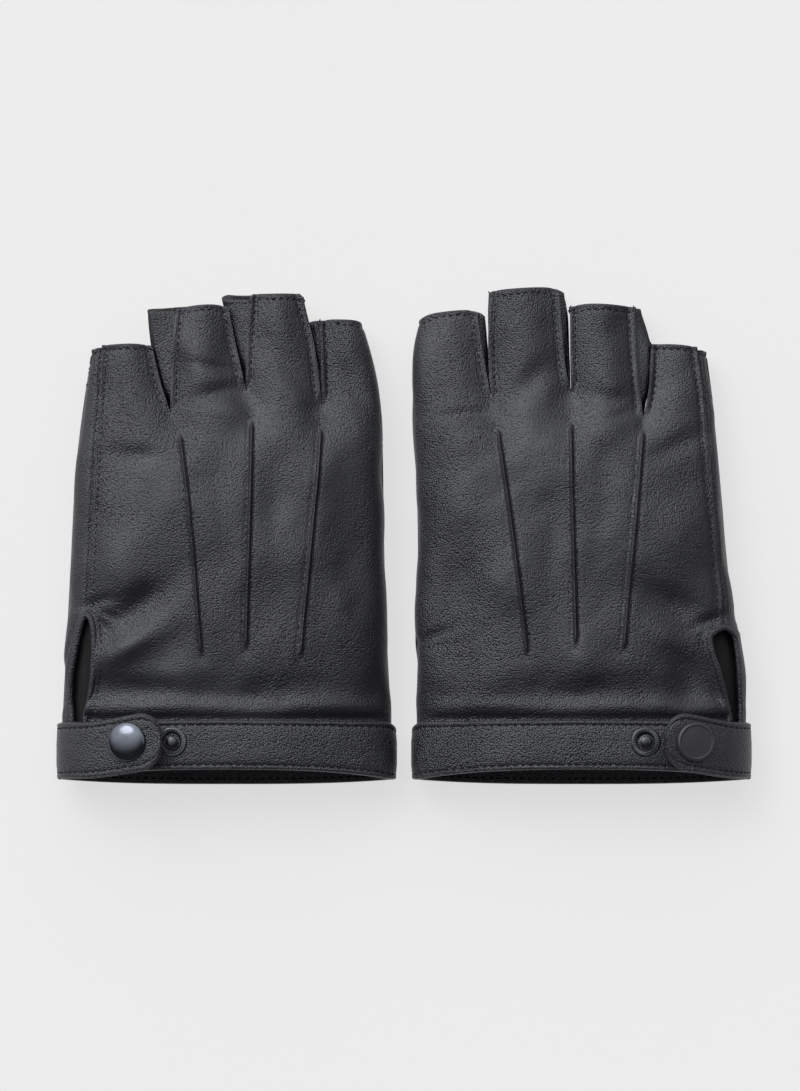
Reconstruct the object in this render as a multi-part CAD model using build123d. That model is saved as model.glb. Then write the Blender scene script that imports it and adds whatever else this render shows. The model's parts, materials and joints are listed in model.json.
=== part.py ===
"""A pair of fingerless driving gloves, lying flat with the backs of the hands up.

Millimetres. +Z is up from the table, +Y runs from the cuffs to the fingertips, and +X from the left glove to the
right glove. The origin is on the table, in the middle of the pair.

Each glove is worked out in its own frame, as a right glove: x from the forefinger side to the little-finger side,
y from the cuff's edge to the fingertips, z up. The left glove is the mirror image, with its own stance: how its
fingers lean and how its cuff lies. Every layer (leather, lining, band, thread) is the space between two copies of
one hollow form, taken at two insets from the leather's outer face. A negative inset lies outside the leather.
"""

import os
from dataclasses import dataclass
from math import hypot, sqrt

from build123d import *

# The pair
CUFF_HALF_WIDTH = 54.3  # outside of the cuff band
CUFF_SPACING = 113.4  # centre of one cuff to centre of the other
GLOVE_LENGTH = 158.6  # cuff edge to the middle fingertip

# Layers
LEATHER = 0.9
LINING = 0.55
BAND = 1.6  # the band is a folded strip, two leathers thick
NEST = 0.05  # room left between two layers
THREAD = 0.4  # how far a seam's thread stands out
REACH = 3.0  # how far a cutter runs past an open end

# The cuff's cross-section, which stays the same along the band
SHELL_HALF_WIDTH = CUFF_HALF_WIDTH - BAND - NEST
CUFF_LOW = BAND + NEST  # underside of the leather, so that the band's underside is on the table
CUFF_TOP = 24.0
CUFF_WIDEST = 9.5  # height at which the section is widest
CUFF_END = 22.0
BACK_HEM = 3.4  # the back is cut this much shorter than the palm
BAND_TOP_EDGE = 20.0
STITCH_MARGIN = 1.7  # band edge to its row of stitches

# The hand's underside is raised on the thumb side, where the thumb is tucked under
CORNER = 8.0
STEP_START, STEP_END = 6.0, 18.0
HAND_END = 119.0
FINGER_ROOT = 106.0
BEZIER_QUARTER = 0.5523  # handle length that makes a cubic curve follow a quarter of an ellipse

# Seams and vent
FOURCHETTE_TURN = 2.2  # how far a side wall turns onto the back and the palm
SEAM_WIDTH = 0.3
SEAM_FLOOR = 9.5  # the side seam and the vent only cut the skin above these heights
VENT_FLOOR = 10.6
VENT_WIDTH = 4.6
VENT_TOP = (45.0, 46.5)
VENT_BOTTOM = (47.5, -REACH)
VENT_RIM = 1.7
POINT_WIDTH = 1.5  # a point is a raised, stitched fold on the back of the hand
POINT_HEIGHT = 1.0
SKY = 60.0  # above everything

# The cuff tab and its snap fastener, a size 20 press stud
TAB_LIFT = 6.3  # height of the tab's arch over the band's arch, at mid cuff
TAB_FACING = 0.7
TAB_HINGE_X = 48.9
TAB_CORNER = 8.0
HINGE_GAP = 0.1
CAP_R, CAP_HEIGHT = 6.25, 2.0
SOCKET_R, SOCKET_LOW, SOCKET_HEIGHT = 5.2, 0.75, 2.0
SOCKET_CAVITY_R = 2.4
STUD_FLANGE_R = 4.8
STUD_HEAD_R = 1.9
STUD_HEIGHT = 2.4
SNAP_SEAT = 0.3  # the closing snap leans towards the tab, and stands off the band by this
EYELET_R, EYELET_THICKNESS = 4.2, 0.5
SHANK_R, SHANK_HOLE_R = 0.85, 1.1
SPRING_WIRE_R = 0.3
SPRING_OFFSET, SPRING_Z = 1.87, 1.0  # from the socket's axis to each wire, and the wires' height

# The thumb, cut short like the fingers
THUMB_ROOT = (-30.0, 55.0)
THUMB_REST_TURN = -20.0  # degrees from straight ahead; negative leans towards the little finger
THUMB_LENGTH = 34.0
THUMB_HALF_WIDTH_ROOT, THUMB_HALF_WIDTH_TIP = 14.5, 13.0
THUMB_HEIGHT = 7.0
COLLAR_R, COLLAR_TOP = 11.0, 9.4
COLLAR_PLAY = 0.5


@dataclass
class Section:
    """One station of the hand or of a finger. The low side is given under the thumb and under the little finger."""

    y: float
    left: float
    right: float
    low_thumb: float
    low_little: float
    widest: float
    top: float


@dataclass
class Finger:
    """A finger stall: its left and right edges at the root and at the tip, and where it is cut off.

    Each end also has its heights: the low side on the thumb's side and on the little finger's side, and the top.
    """

    name: str
    root: tuple
    tip: tuple
    tip_y: float
    root_z: tuple
    tip_z: tuple

    def edge(self, side, y):
        """x of the left (0) or right (1) edge at y."""
        share = (y - FINGER_ROOT) / (self.tip_y - FINGER_ROOT)
        return self.root[side] + share * (self.tip[side] - self.root[side])


@dataclass
class Stance:
    """How one glove of the pair lies."""

    side: str
    hand_left: tuple  # left and right edges of the hand at HAND_Y
    hand_right: tuple
    fingers: tuple
    seam: tuple
    points: tuple
    cap_x: float
    spare_stud_x: float
    snap_y: float
    tab_tip_x: float


HAND_Y = (0.0, CUFF_END, 37.0, 75.0, 106.0, HAND_END)
HAND_LOW_THUMB = (CUFF_LOW, CUFF_LOW, 7.5, 7.5, 7.5, 7.0)
HAND_LOW_LITTLE = (CUFF_LOW, CUFF_LOW, 1.0, 0.8, 0.8, 1.0)
HAND_WIDEST = (CUFF_WIDEST, CUFF_WIDEST, 11.5, 11.5, 11.5, 11.0)
HAND_TOP = (CUFF_TOP, CUFF_TOP, 26.0, 27.0, 23.8, 16.5)

RIGHT = Stance(
    side="right",
    hand_left=(-SHELL_HALF_WIDTH, -SHELL_HALF_WIDTH, -52.5, -52.6, -53.9, -53.4),
    hand_right=(SHELL_HALF_WIDTH, SHELL_HALF_WIDTH, 51.4, 46.6, 43.4, 41.6),
    fingers=(
        Finger("forefinger", (-53.7, -27.5), (-51.5, -33.0), 150.5, (7.8, 7.8, 18.4), (3.0, 3.0, 16.5)),
        Finger("middle", (-29.5, -2.9), (-29.0, -6.2), 158.6, (7.8, 7.8, 21.4), (3.0, 3.0, 18.0)),
        Finger("ring", (-4.5, 20.5), (-3.2, 19.8), 152.8, (7.6, 3.2, 21.4), (2.0, 2.0, 17.0)),
        Finger("little", (18.8, 42.6), (22.6, 38.8), 140.3, (1.6, 1.6, 18.0), (1.0, 1.0, 15.0)),
    ),
    seam=((45.2, 47.0), (43.9, 75.0), (41.2, 115.0), (36.4, 145.0)),
    points=(((-26.9, 113.0), (-17.6, 41.3)), ((-3.5, 115.0), (-2.1, 44.3)), ((19.4, 112.4), (13.2, 42.8))),
    cap_x=34.0,
    spare_stud_x=20.2,
    snap_y=13.2,
    tab_tip_x=26.4,
)
LEFT = Stance(
    side="left",
    hand_left=(-SHELL_HALF_WIDTH, -SHELL_HALF_WIDTH, -51.6, -50.4, -49.8, -47.8),
    hand_right=(SHELL_HALF_WIDTH, SHELL_HALF_WIDTH, 52.0, 49.9, 47.0, 45.4),
    fingers=(
        Finger("forefinger", (-49.4, -28.8), (-42.9, -27.6), 148.4, (7.8, 7.8, 18.0), (3.0, 3.0, 16.5)),
        Finger("middle", (-30.8, -5.0), (-25.0, -1.4), 156.8, (7.8, 7.8, 21.4), (3.0, 3.0, 18.0)),
        Finger("ring", (-6.8, 19.6), (0.8, 23.2), 153.2, (7.6, 3.2, 21.4), (2.0, 2.0, 17.0)),
        Finger("little", (17.6, 46.2), (25.8, 43.0), 140.5, (1.6, 1.6, 18.0), (1.0, 1.0, 15.0)),
    ),
    seam=((45.4, 47.0), (45.0, 75.0), (43.2, 115.0), (40.4, 145.0)),
    points=(((-30.1, 113.4), (-23.5, 40.3)), ((-8.0, 115.0), (-6.3, 43.0)), ((15.0, 111.8), (7.9, 41.0))),
    cap_x=29.8,
    spare_stud_x=17.1,
    snap_y=13.2,
    tab_tip_x=20.4,
)


# Hollow forms


def quarter(start, corner, end):
    """A curve from start to end that follows a quarter of an ellipse, bulging towards corner."""
    first = start + (corner - start) * BEZIER_QUARTER
    second = end + (corner - end) * BEZIER_QUARTER
    return Bezier(start, first, second, end)


def section_wire(s, inset):
    """Outline across a form: an elliptical back, and an underside with round corners and a step."""
    left, right = s.left + inset, s.right - inset
    middle = (s.left + s.right) / 2
    top, low_thumb, low_little = s.top - inset, s.low_thumb + inset, s.low_little + inset
    corner = min(CORNER, (s.right - s.left) / 4)
    wide = s.right - s.left > 2 * STEP_END
    step_start = STEP_START if wide else left + corner + 1
    step_end = STEP_END if wide else right - corner - 1

    def at(x, z):
        return Vector(x, s.y, z)

    under = [
        at(left + corner, low_thumb),
        at(step_start, low_thumb),
        at(step_end, low_little),
        at(right - corner, low_little),
    ]
    return Wire(
        [
            quarter(at(right, s.widest), at(right, top), at(middle, top)),
            quarter(at(middle, top), at(left, top), at(left, s.widest)),
            quarter(at(left, s.widest), at(left, low_thumb), under[0]),
            Line(under[0], under[1]),
            Line(under[1], under[2]),
            Line(under[2], under[3]),
            quarter(under[3], at(right, low_little), at(right, s.widest)),
        ]
    )


def form(sections, inset):
    """The solid through a row of sections, all inset by the same amount."""
    return Part() + Solid.make_loft([section_wire(s, inset) for s in sections], True)


def hand_sections(stance, inset, reach):
    """The hand's stations. Its far end moves back by the inset, and its cuff end forward by the reach."""
    rows = zip(HAND_Y, stance.hand_left, stance.hand_right, HAND_LOW_THUMB, HAND_LOW_LITTLE, HAND_WIDEST, HAND_TOP)
    sections = [Section(*row) for row in rows]
    sections[0].y -= reach
    sections[-1].y -= inset
    return sections


def finger_sections(finger, reach):
    """A finger's root and tip. Past its tip it runs on by the reach, unchanged."""

    def station(y, edges, heights):
        low_thumb, low_little, top = heights
        return Section(y, *edges, low_thumb, low_little, low_thumb + 0.45 * (top - low_thumb), top)

    sections = [
        station(FINGER_ROOT, finger.root, finger.root_z),
        station(finger.tip_y, finger.tip, finger.tip_z),
    ]
    if reach:
        sections.append(station(finger.tip_y + reach, finger.tip, finger.tip_z))
    return sections


def glove_form(stance, inset, reach=0.0):
    """The hand and its four fingers as one solid."""
    solid = form(hand_sections(stance, inset, reach), inset)
    for finger in stance.fingers:
        solid += form(finger_sections(finger, reach), inset)
    return solid


def cuff_form(inset, lift=0.0, y_from=-REACH, y_to=CUFF_END):
    """The cuff's cross-section at an inset, extruded along y. A lift raises its arch without widening it."""
    ends = [
        Section(y, -SHELL_HALF_WIDTH, SHELL_HALF_WIDTH, CUFF_LOW, CUFF_LOW, CUFF_WIDEST, CUFF_TOP + lift)
        for y in (y_from, y_to)
    ]
    return form(ends, inset)


# Cutters


def slab(x_from, x_to, y_from, y_to, z_from=-REACH, z_to=SKY):
    """A box between two corners."""
    size = (x_to - x_from, y_to - y_from, z_to - z_from)
    middle = ((x_from + x_to) / 2, (y_from + y_to) / 2, (z_from + z_to) / 2)
    return Pos(*middle) * Box(*size)


def prism(points, z_from=-REACH):
    """The space above a plan outline."""
    outline = Face(Wire.make_polygon([(x, y, z_from) for x, y in points]))
    return extrude(outline, SKY - z_from, dir=(0, 0, 1))


def strip(start, end, width, z_from=-REACH):
    """The space above a straight line in plan, with the given width."""
    dx, dy = end[0] - start[0], end[1] - start[1]
    length = hypot(dx, dy)
    nx, ny = -dy / length * width / 2, dx / length * width / 2
    corners = [
        (start[0] + nx, start[1] + ny),
        (end[0] + nx, end[1] + ny),
        (end[0] - nx, end[1] - ny),
        (start[0] - nx, start[1] - ny),
    ]
    return prism(corners, z_from)


def seam_row(start, end, offset, trim_start, trim_end):
    """The ends of a row that runs beside a line in plan, on its little-finger side and short of its ends."""
    dx, dy = end[0] - start[0], end[1] - start[1]
    length = hypot(dx, dy)
    ux, uy = dx / length, dy / length
    side = (abs(uy) * offset, -ux * offset if uy > 0 else ux * offset)
    row_start = (start[0] + side[0] + ux * trim_start, start[1] + side[1] + uy * trim_start)
    row_end = (end[0] + side[0] - ux * trim_end, end[1] + side[1] - uy * trim_end)
    return row_start, row_end


def vent_cutter(grow=0.0):
    """The open vent in plan: a slot with a round top, running out through the cuff."""
    width = VENT_WIDTH + 2 * grow
    top = Pos(VENT_TOP[0], VENT_TOP[1], VENT_FLOOR) * extrude(Circle(width / 2), SKY)
    return strip(VENT_TOP, VENT_BOTTOM, width, VENT_FLOOR) + top


def back_hem_cutter():
    """What is cut away so that the back of the cuff ends higher than the palm."""
    return slab(-80, 80, -REACH - 1, BACK_HEM, CUFF_WIDEST, SKY)


def seam_cutter(stance):
    """The side seam: a slit between the back's edge and the palm's edge, on the little-finger side."""
    cut = Part()
    for start, end in zip(stance.seam, stance.seam[1:]):
        cut += strip(start, end, SEAM_WIDTH, SEAM_FLOOR)
    return cut


def fourchette_cutter(near, far):
    """The wedge in plan that holds the side walls facing the gap between two fingers, and the web at its root."""
    start = HAND_END - LEATHER - 0.3
    tip = max(near.tip_y, far.tip_y) + REACH
    return prism(
        [
            (min(near.edge(1, start), far.edge(0, start)) - 0.6, start),
            (max(near.edge(1, start), far.edge(0, start)) + 0.6, start),
            (far.edge(0, tip) + FOURCHETTE_TURN, tip),
            (near.edge(1, tip) - FOURCHETTE_TURN, tip),
        ]
    )


# Snap fastener. Each piece is turned about its own +Z, which points out of the cuff.


def turned(profile):
    """A solid turned about Z from a profile of (radius, height) points."""
    return revolve(Face(Wire.make_polygon([(r, 0, z) for r, z in profile])), Axis.Z)


def stud():
    """The male half: a rimmed flange and a round head on a neck, hollow for the eyelet's shank."""
    neck = STUD_HEAD_R - 0.4
    return turned(
        [
            (SHANK_HOLE_R, 0.05),
            (STUD_FLANGE_R, 0.05),
            (STUD_FLANGE_R, 0.45),
            (STUD_FLANGE_R - 0.4, 0.65),
            (STUD_FLANGE_R - 1.5, 0.65),
            (STUD_FLANGE_R - 2.1, 0.45),
            (neck, 0.5),
            (neck, 1.1),
            (STUD_HEAD_R, 1.35),
            (STUD_HEAD_R, 2.0),
            (STUD_HEAD_R - 0.35, STUD_HEIGHT - 0.12),
            (STUD_HEAD_R - 0.9, STUD_HEIGHT),
            (0, STUD_HEIGHT),
            (0, 1.9),
            (SHANK_HOLE_R, 1.9),
        ]
    )


def eyelet():
    """The stud's rivet: a flange inside the cuff, and a shank that passes out through every layer."""
    under = -(BAND + NEST + LEATHER + NEST + LINING) - 0.55
    return turned(
        [
            (0, under - EYELET_THICKNESS),
            (EYELET_R, under - EYELET_THICKNESS),
            (EYELET_R, under),
            (SHANK_R, under),
            (SHANK_R, 1.75),
            (0, 1.75),
        ]
    )


def socket():
    """The female half: a ring with a cavity for the stud's head, and two slots for its spring wires."""
    low, high = SOCKET_LOW, SOCKET_LOW + SOCKET_HEIGHT
    body = turned(
        [
            (SOCKET_CAVITY_R, low),
            (SOCKET_R - 0.3, low),
            (SOCKET_R, low + 0.3),
            (SOCKET_R, high - 0.2),
            (SOCKET_R - 0.2, high),
            (SHANK_HOLE_R, high),
            (SHANK_HOLE_R, high - 0.25),
            (SOCKET_CAVITY_R, high - 0.25),
        ]
    )
    room = SPRING_WIRE_R + NEST
    for x in (-SPRING_OFFSET, SPRING_OFFSET):
        body -= slab(x - room, x + room, -3.4, 3.4, 0, SPRING_Z + room)
    return body


def spring():
    """The two straight spring wires that hold the stud's neck."""
    wires = Part()
    for x in (-SPRING_OFFSET, SPRING_OFFSET):
        wires += Pos(x, 0, SPRING_Z) * Rot(90, 0, 0) * Cylinder(SPRING_WIRE_R, 6.6)
    return wires


def cap(surface):
    """The domed cap on the tab, and its shank down to the socket. The surface is the tab's height along the axis."""
    base = surface + 0.3
    rim = [(CAP_R - 0.25, base), (CAP_R, base + 0.25), (CAP_R, base + 0.7)]
    dome = [
        (CAP_R * sqrt(1 - share**2), base + 0.7 + (CAP_HEIGHT - 0.7) * share) for share in (0.25, 0.5, 0.75, 0.9)
    ]
    foot = SOCKET_LOW + SOCKET_HEIGHT - 0.2
    return turned([(0, foot), (SHANK_R, foot), (SHANK_R, base), *rim, *dome, (0, base + CAP_HEIGHT)])


def arch_height(x, inset, lift=0.0):
    """Height of the cuff's arch at x, and its slope there."""
    half, rise = SHELL_HALF_WIDTH - inset, CUFF_TOP + lift - inset - CUFF_WIDEST
    share = sqrt(1 - (x / half) ** 2)
    return CUFF_WIDEST + rise * share, -rise * x / (half**2 * share)


def snap_plane(x, y, tabbed):
    """The plane of a snap: on the band's outer face, turned halfway to the tab's face if it is under the tab."""
    z, slope = arch_height(x, -BAND - NEST)
    if tabbed:
        slope = (slope + arch_height(x, -NEST, TAB_LIFT + BAND)[1]) / 2
    plane = Plane(origin=(x, y, z), x_dir=(0, 1, 0), z_dir=(-slope, 0, 1))
    return plane.offset(SNAP_SEAT) if tabbed else plane


def tab_surface(x):
    """Distance along the closing snap's axis from its seat to the tab's outer face."""
    low, slope = arch_height(x, -BAND - NEST)
    high = arch_height(x, -NEST - BAND, TAB_LIFT + BAND)[0]
    return (high - low) / sqrt(1 + slope**2) - SNAP_SEAT


# Sub-parts of one glove, in the glove's own frame


def shell(stance, skin, holes):
    """The leather trank: back, palm and forefinger-side fold in one piece, with the three raised points."""
    body = skin
    ridge = form(hand_sections(stance, -POINT_HEIGHT, 0), -POINT_HEIGHT)
    ridge -= form(hand_sections(stance, LEATHER / 2, REACH), LEATHER / 2)
    for start, end in stance.points:
        body += ridge & strip(start, end, POINT_WIDTH, CUFF_WIDEST + 4)
    body -= seam_cutter(stance)
    for near, far in zip(stance.fingers, stance.fingers[1:]):
        body -= fourchette_cutter(near, far)
    return body - holes


def band_ring(inner, outer, lift=0.0):
    """The cuff's cross-section between two insets."""
    return cuff_form(outer, lift, 0.0, CUFF_END + 2) - cuff_form(inner, lift, -REACH, CUFF_END + 2 + REACH)


def tab_outline(stance, grow=0.0):
    """The tab in plan, from its hinge to its rounded tip."""
    tip, root = stance.tab_tip_x - grow, TAB_HINGE_X + 8
    low, high = 4.4 - grow, 22.6 + grow
    outline = RectangleRounded(root - tip, high - low, TAB_CORNER + grow)
    return extrude(Pos((tip + root) / 2, (low + high) / 2) * outline, SKY)


def hinge_height():
    """Height of the tab's outer face at the hinge."""
    return arch_height(TAB_HINGE_X, -NEST - BAND, TAB_LIFT + BAND)[0]


def hinge_side(gap):
    """The half-space on the tab's side of the hinge, moved away from it by a gap."""
    slope = arch_height(TAB_HINGE_X, -NEST - BAND, TAB_LIFT + BAND)[1]
    plane = Plane(origin=(TAB_HINGE_X, 0, hinge_height()), x_dir=(1, 0, slope), z_dir=(-slope, 0, 1))
    return plane * Pos(-50 - gap, 0, 0) * Box(100, 200, 100)


def cuff_band(holes):
    """The band round the wrist. Past the vent it comes up the little-finger side to the tab's hinge."""
    band = band_ring(-NEST, -NEST - BAND) - back_hem_cutter() - slab(-80, 80, BAND_TOP_EDGE, 80)
    band -= slab(VENT_BOTTOM[0] - 3.5, 80, -REACH, 80, CUFF_WIDEST)
    riser = band_ring(-NEST, -NEST - BAND, TAB_LIFT + BAND)
    riser &= slab(TAB_HINGE_X - 5, 80, BACK_HEM, BAND_TOP_EDGE, CUFF_WIDEST)
    return band + (riser - hinge_side(0)) - holes


def tab_layer(stance, inner, outer):
    """One layer of the tab between two insets of its own arch."""
    layer = band_ring(inner, outer, TAB_LIFT + BAND) & slab(-80, 80, -20, 40, CUFF_WIDEST)
    layer = layer & tab_outline(stance) & hinge_side(HINGE_GAP)
    hole_plane = snap_plane(stance.cap_x, stance.snap_y, True)
    return layer - hole_plane * Pos(0, 0, 4) * Cylinder(SHANK_HOLE_R, 20)


def cuff_thread():
    """Two rows of stitching on the band, over the back of the wrist."""
    ring = band_ring(-2 * NEST - BAND, -2 * NEST - BAND - THREAD)
    rows = Part()
    for y in (BACK_HEM + STITCH_MARGIN, BAND_TOP_EDGE - STITCH_MARGIN):
        rows += ring & slab(-80, VENT_BOTTOM[0] - 4, y - THREAD / 2, y + THREAD / 2, CUFF_WIDEST)
    return rows


def tab_thread(stance):
    """The row of stitching round the tab's edge."""
    ring = band_ring(-2 * NEST - BAND, -2 * NEST - BAND - THREAD, TAB_LIFT + BAND)
    row = tab_outline(stance, -STITCH_MARGIN) - tab_outline(stance, -STITCH_MARGIN - THREAD)
    return ring & row & hinge_side(HINGE_GAP) & slab(-80, TAB_HINGE_X - 1, -20, 40)


def finger_skins(stance):
    """For each finger, the thin space just outside its leather where its threads lie."""
    return [
        form(finger_sections(f, 0), -NEST - THREAD) - form(finger_sections(f, REACH), -NEST) for f in stance.fingers
    ]


def finger_thread(stance):
    """A hem row round each fingertip, and a row down each edge of the back where a side wall is sewn on."""
    rows = Part()
    skins = finger_skins(stance)
    for finger, skin in zip(stance.fingers, skins):
        y = finger.tip_y - STITCH_MARGIN
        rows += skin & slab(-80, 80, y - THREAD, y, -REACH)
    inward = FOURCHETTE_TURN + 0.5
    for i in range(len(skins) - 1):
        near, far = stance.fingers[i], stance.fingers[i + 1]
        start = HAND_END + 6
        for finger, skin, side, turn in ((near, skins[i], 1, -inward), (far, skins[i + 1], 0, inward)):
            end = finger.tip_y - STITCH_MARGIN - 2 * THREAD
            line = strip((finger.edge(side, start) + turn, start), (finger.edge(side, end) + turn, end), THREAD, 12.5)
            rows += skin & line
    return rows


def hand_thread_skin(stance):
    """The thin space just outside the hand's leather."""
    return form(hand_sections(stance, -NEST - THREAD, 0), -NEST - THREAD) - glove_form(stance, -NEST, REACH)


def point_thread(stance, skin):
    """The stitching along the little-finger side of each point."""
    rows = Part()
    offset = POINT_WIDTH / 2 + THREAD
    for start, end in stance.points:
        rows += skin & strip(*seam_row(start, end, offset, 3, 1), THREAD, CUFF_WIDEST + 4)
    return rows


def side_seam_thread(stance, skin):
    """The stitching beside the side seam, on the palm's edge."""
    row = Part()
    offset = SEAM_WIDTH / 2 + THREAD
    for start, end in zip(stance.seam[:-2], stance.seam[1:-1]):
        row += strip(*seam_row(start, end, offset, 5, 2), THREAD, SEAM_FLOOR)
    return skin & row


def vent_binding():
    """The turned edge round the vent, above the band."""
    return vent_cutter(VENT_RIM) - vent_cutter() - slab(-80, 80, -20, CUFF_END + 0.5)


# The thumb, in its own frame: the root's centre at the origin, pointing along +Y


def thumb_form(inset, reach=0.0):
    """A flattened stall with a round root and a collar that comes up through the palm."""
    root, tip = THUMB_HALF_WIDTH_ROOT, THUMB_HALF_WIDTH_TIP
    heel = inset - COLLAR_R - 2
    outline = [(heel, root - 6), (heel + 2, root - 3.5), (-6, root - 1), (0, root), (THUMB_LENGTH, tip)]
    if reach:
        outline.append((THUMB_LENGTH + reach, tip))
    stall = [Section(y, -half, half, 0, 0, THUMB_HEIGHT / 2, THUMB_HEIGHT) for y, half in outline]
    collar_height = COLLAR_TOP + reach - THUMB_HEIGHT / 2
    collar = Pos(0, 0, THUMB_HEIGHT / 2 + collar_height / 2) * Cylinder(COLLAR_R - inset, collar_height)
    return form(stall, inset) + collar


def thumb_place():
    """From the thumb's own frame to the glove's."""
    return Pos(*THUMB_ROOT, 0) * Rot(0, 0, THUMB_REST_TURN)


def thumb_thread():
    """The hem row round the thumb's opening, above the table."""
    outer = thumb_form(-NEST - THREAD) - thumb_form(-NEST, REACH)
    y = THUMB_LENGTH - STITCH_MARGIN
    return outer & slab(-80, 80, y - THREAD, y, 0.6, THUMB_HEIGHT + 1)


# One glove, and the pair


def build_glove(stance):
    """Every sub-part of one glove, by node name, in the glove's own frame."""
    place = {
        "closing": snap_plane(stance.cap_x, stance.snap_y, True).location,
        "spare": snap_plane(stance.spare_stud_x, stance.snap_y, False).location,
    }
    outside, inside = glove_form(stance, 0), glove_form(stance, LEATHER, REACH)
    lining_outside = glove_form(stance, LEATHER + NEST)
    lining_inside = glove_form(stance, LEATHER + NEST + LINING, REACH)
    shank_holes = Part()
    for location in place.values():
        shank_holes += location * Cylinder(SHANK_HOLE_R, 10)
    thumb_hole = Pos(*THUMB_ROOT, 8) * Cylinder(COLLAR_R + COLLAR_PLAY, 8)
    holes = vent_cutter() + back_hem_cutter() + shank_holes + thumb_hole
    skin = outside - inside
    hand_skin = hand_thread_skin(stance)
    binding_space = form(hand_sections(stance, -0.8, 0), -0.8) - form(hand_sections(stance, -NEST, REACH), -NEST)
    middle_of_tab = -NEST - TAB_FACING

    parts = {
        "shell": shell(stance, skin, holes),
        "lining": lining_outside - lining_inside - holes,
        "vent_binding": binding_space & vent_binding(),
        "cuff_band": cuff_band(shank_holes),
        "closing_stud": place["closing"] * stud(),
        "closing_stud_eyelet": place["closing"] * eyelet(),
        "spare_stud": place["spare"] * stud(),
        "spare_stud_eyelet": place["spare"] * eyelet(),
        "cuff_thread": cuff_thread(),
        "finger_thread": finger_thread(stance),
        "point_thread": point_thread(stance, hand_skin),
        "side_seam_thread": side_seam_thread(stance, hand_skin),
        "thumb": thumb_place() * (thumb_form(0) - thumb_form(LEATHER, REACH)),
        "thumb_lining": thumb_place() * (thumb_form(LEATHER + NEST) - thumb_form(LEATHER + NEST + LINING, REACH)),
        "thumb_thread": thumb_place() * thumb_thread(),
        "cuff_tab": tab_layer(stance, middle_of_tab - NEST, -NEST - BAND),
        "tab_facing": tab_layer(stance, -NEST, middle_of_tab),
        "snap_cap": place["closing"] * cap(tab_surface(stance.cap_x)),
        "snap_socket": place["closing"] * socket(),
        "snap_spring": place["closing"] * spring(),
        "tab_thread": tab_thread(stance),
    }
    for near, far in zip(stance.fingers, stance.fingers[1:]):
        wall = skin & fourchette_cutter(near, far)
        parts[f"fourchette_{near.name}_{far.name}"] = wall
    return parts


def place_glove(stance, solid):
    """From a glove's own frame to the pair's."""
    if stance is LEFT:
        return Pos(-CUFF_SPACING / 2, -GLOVE_LENGTH / 2, 0) * mirror(solid, about=Plane.YZ)
    return Pos(CUFF_SPACING / 2, -GLOVE_LENGTH / 2, 0) * solid


os.makedirs("parts", exist_ok=True)
for glove in (LEFT, RIGHT):
    for name, solid in build_glove(glove).items():
        placed = place_glove(glove, solid)
        export_step(Compound(children=list(placed.solids())), f"parts/{glove.side}_{name}.step")
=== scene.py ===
"""The looks of a pair of fingerless driving gloves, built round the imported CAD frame.

Shapes are worked out in millimetres in each glove's own frame, as a right glove: x from the forefinger side to the
little-finger side, y from the cuff's edge to the fingertips, z up. place() takes them to the row frame in metres.
"""

import json
import math

import bmesh
import bpy
import numpy as np
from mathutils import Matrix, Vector
from mathutils.bvhtree import BVHTree


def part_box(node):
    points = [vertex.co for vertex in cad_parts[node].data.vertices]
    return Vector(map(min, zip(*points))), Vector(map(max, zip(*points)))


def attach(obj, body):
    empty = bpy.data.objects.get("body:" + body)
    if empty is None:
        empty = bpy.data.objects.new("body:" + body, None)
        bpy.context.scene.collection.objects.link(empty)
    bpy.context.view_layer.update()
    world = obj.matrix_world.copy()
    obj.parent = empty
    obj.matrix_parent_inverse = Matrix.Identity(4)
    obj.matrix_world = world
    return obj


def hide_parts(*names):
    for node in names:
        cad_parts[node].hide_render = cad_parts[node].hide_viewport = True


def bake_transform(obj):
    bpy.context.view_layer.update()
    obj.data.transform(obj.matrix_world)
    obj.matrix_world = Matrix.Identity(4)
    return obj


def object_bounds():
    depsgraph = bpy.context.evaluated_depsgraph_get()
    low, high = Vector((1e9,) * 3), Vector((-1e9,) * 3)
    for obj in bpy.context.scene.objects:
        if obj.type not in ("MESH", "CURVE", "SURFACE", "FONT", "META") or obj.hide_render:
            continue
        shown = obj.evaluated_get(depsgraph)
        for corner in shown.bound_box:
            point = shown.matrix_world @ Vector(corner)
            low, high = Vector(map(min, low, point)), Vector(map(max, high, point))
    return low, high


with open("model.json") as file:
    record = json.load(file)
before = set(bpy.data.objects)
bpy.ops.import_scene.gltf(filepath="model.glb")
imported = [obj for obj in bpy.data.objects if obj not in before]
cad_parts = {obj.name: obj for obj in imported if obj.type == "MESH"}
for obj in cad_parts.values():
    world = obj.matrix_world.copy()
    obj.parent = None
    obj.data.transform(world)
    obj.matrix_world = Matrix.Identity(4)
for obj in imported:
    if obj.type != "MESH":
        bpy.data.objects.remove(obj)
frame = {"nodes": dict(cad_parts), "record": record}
cad_low, cad_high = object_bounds()

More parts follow.
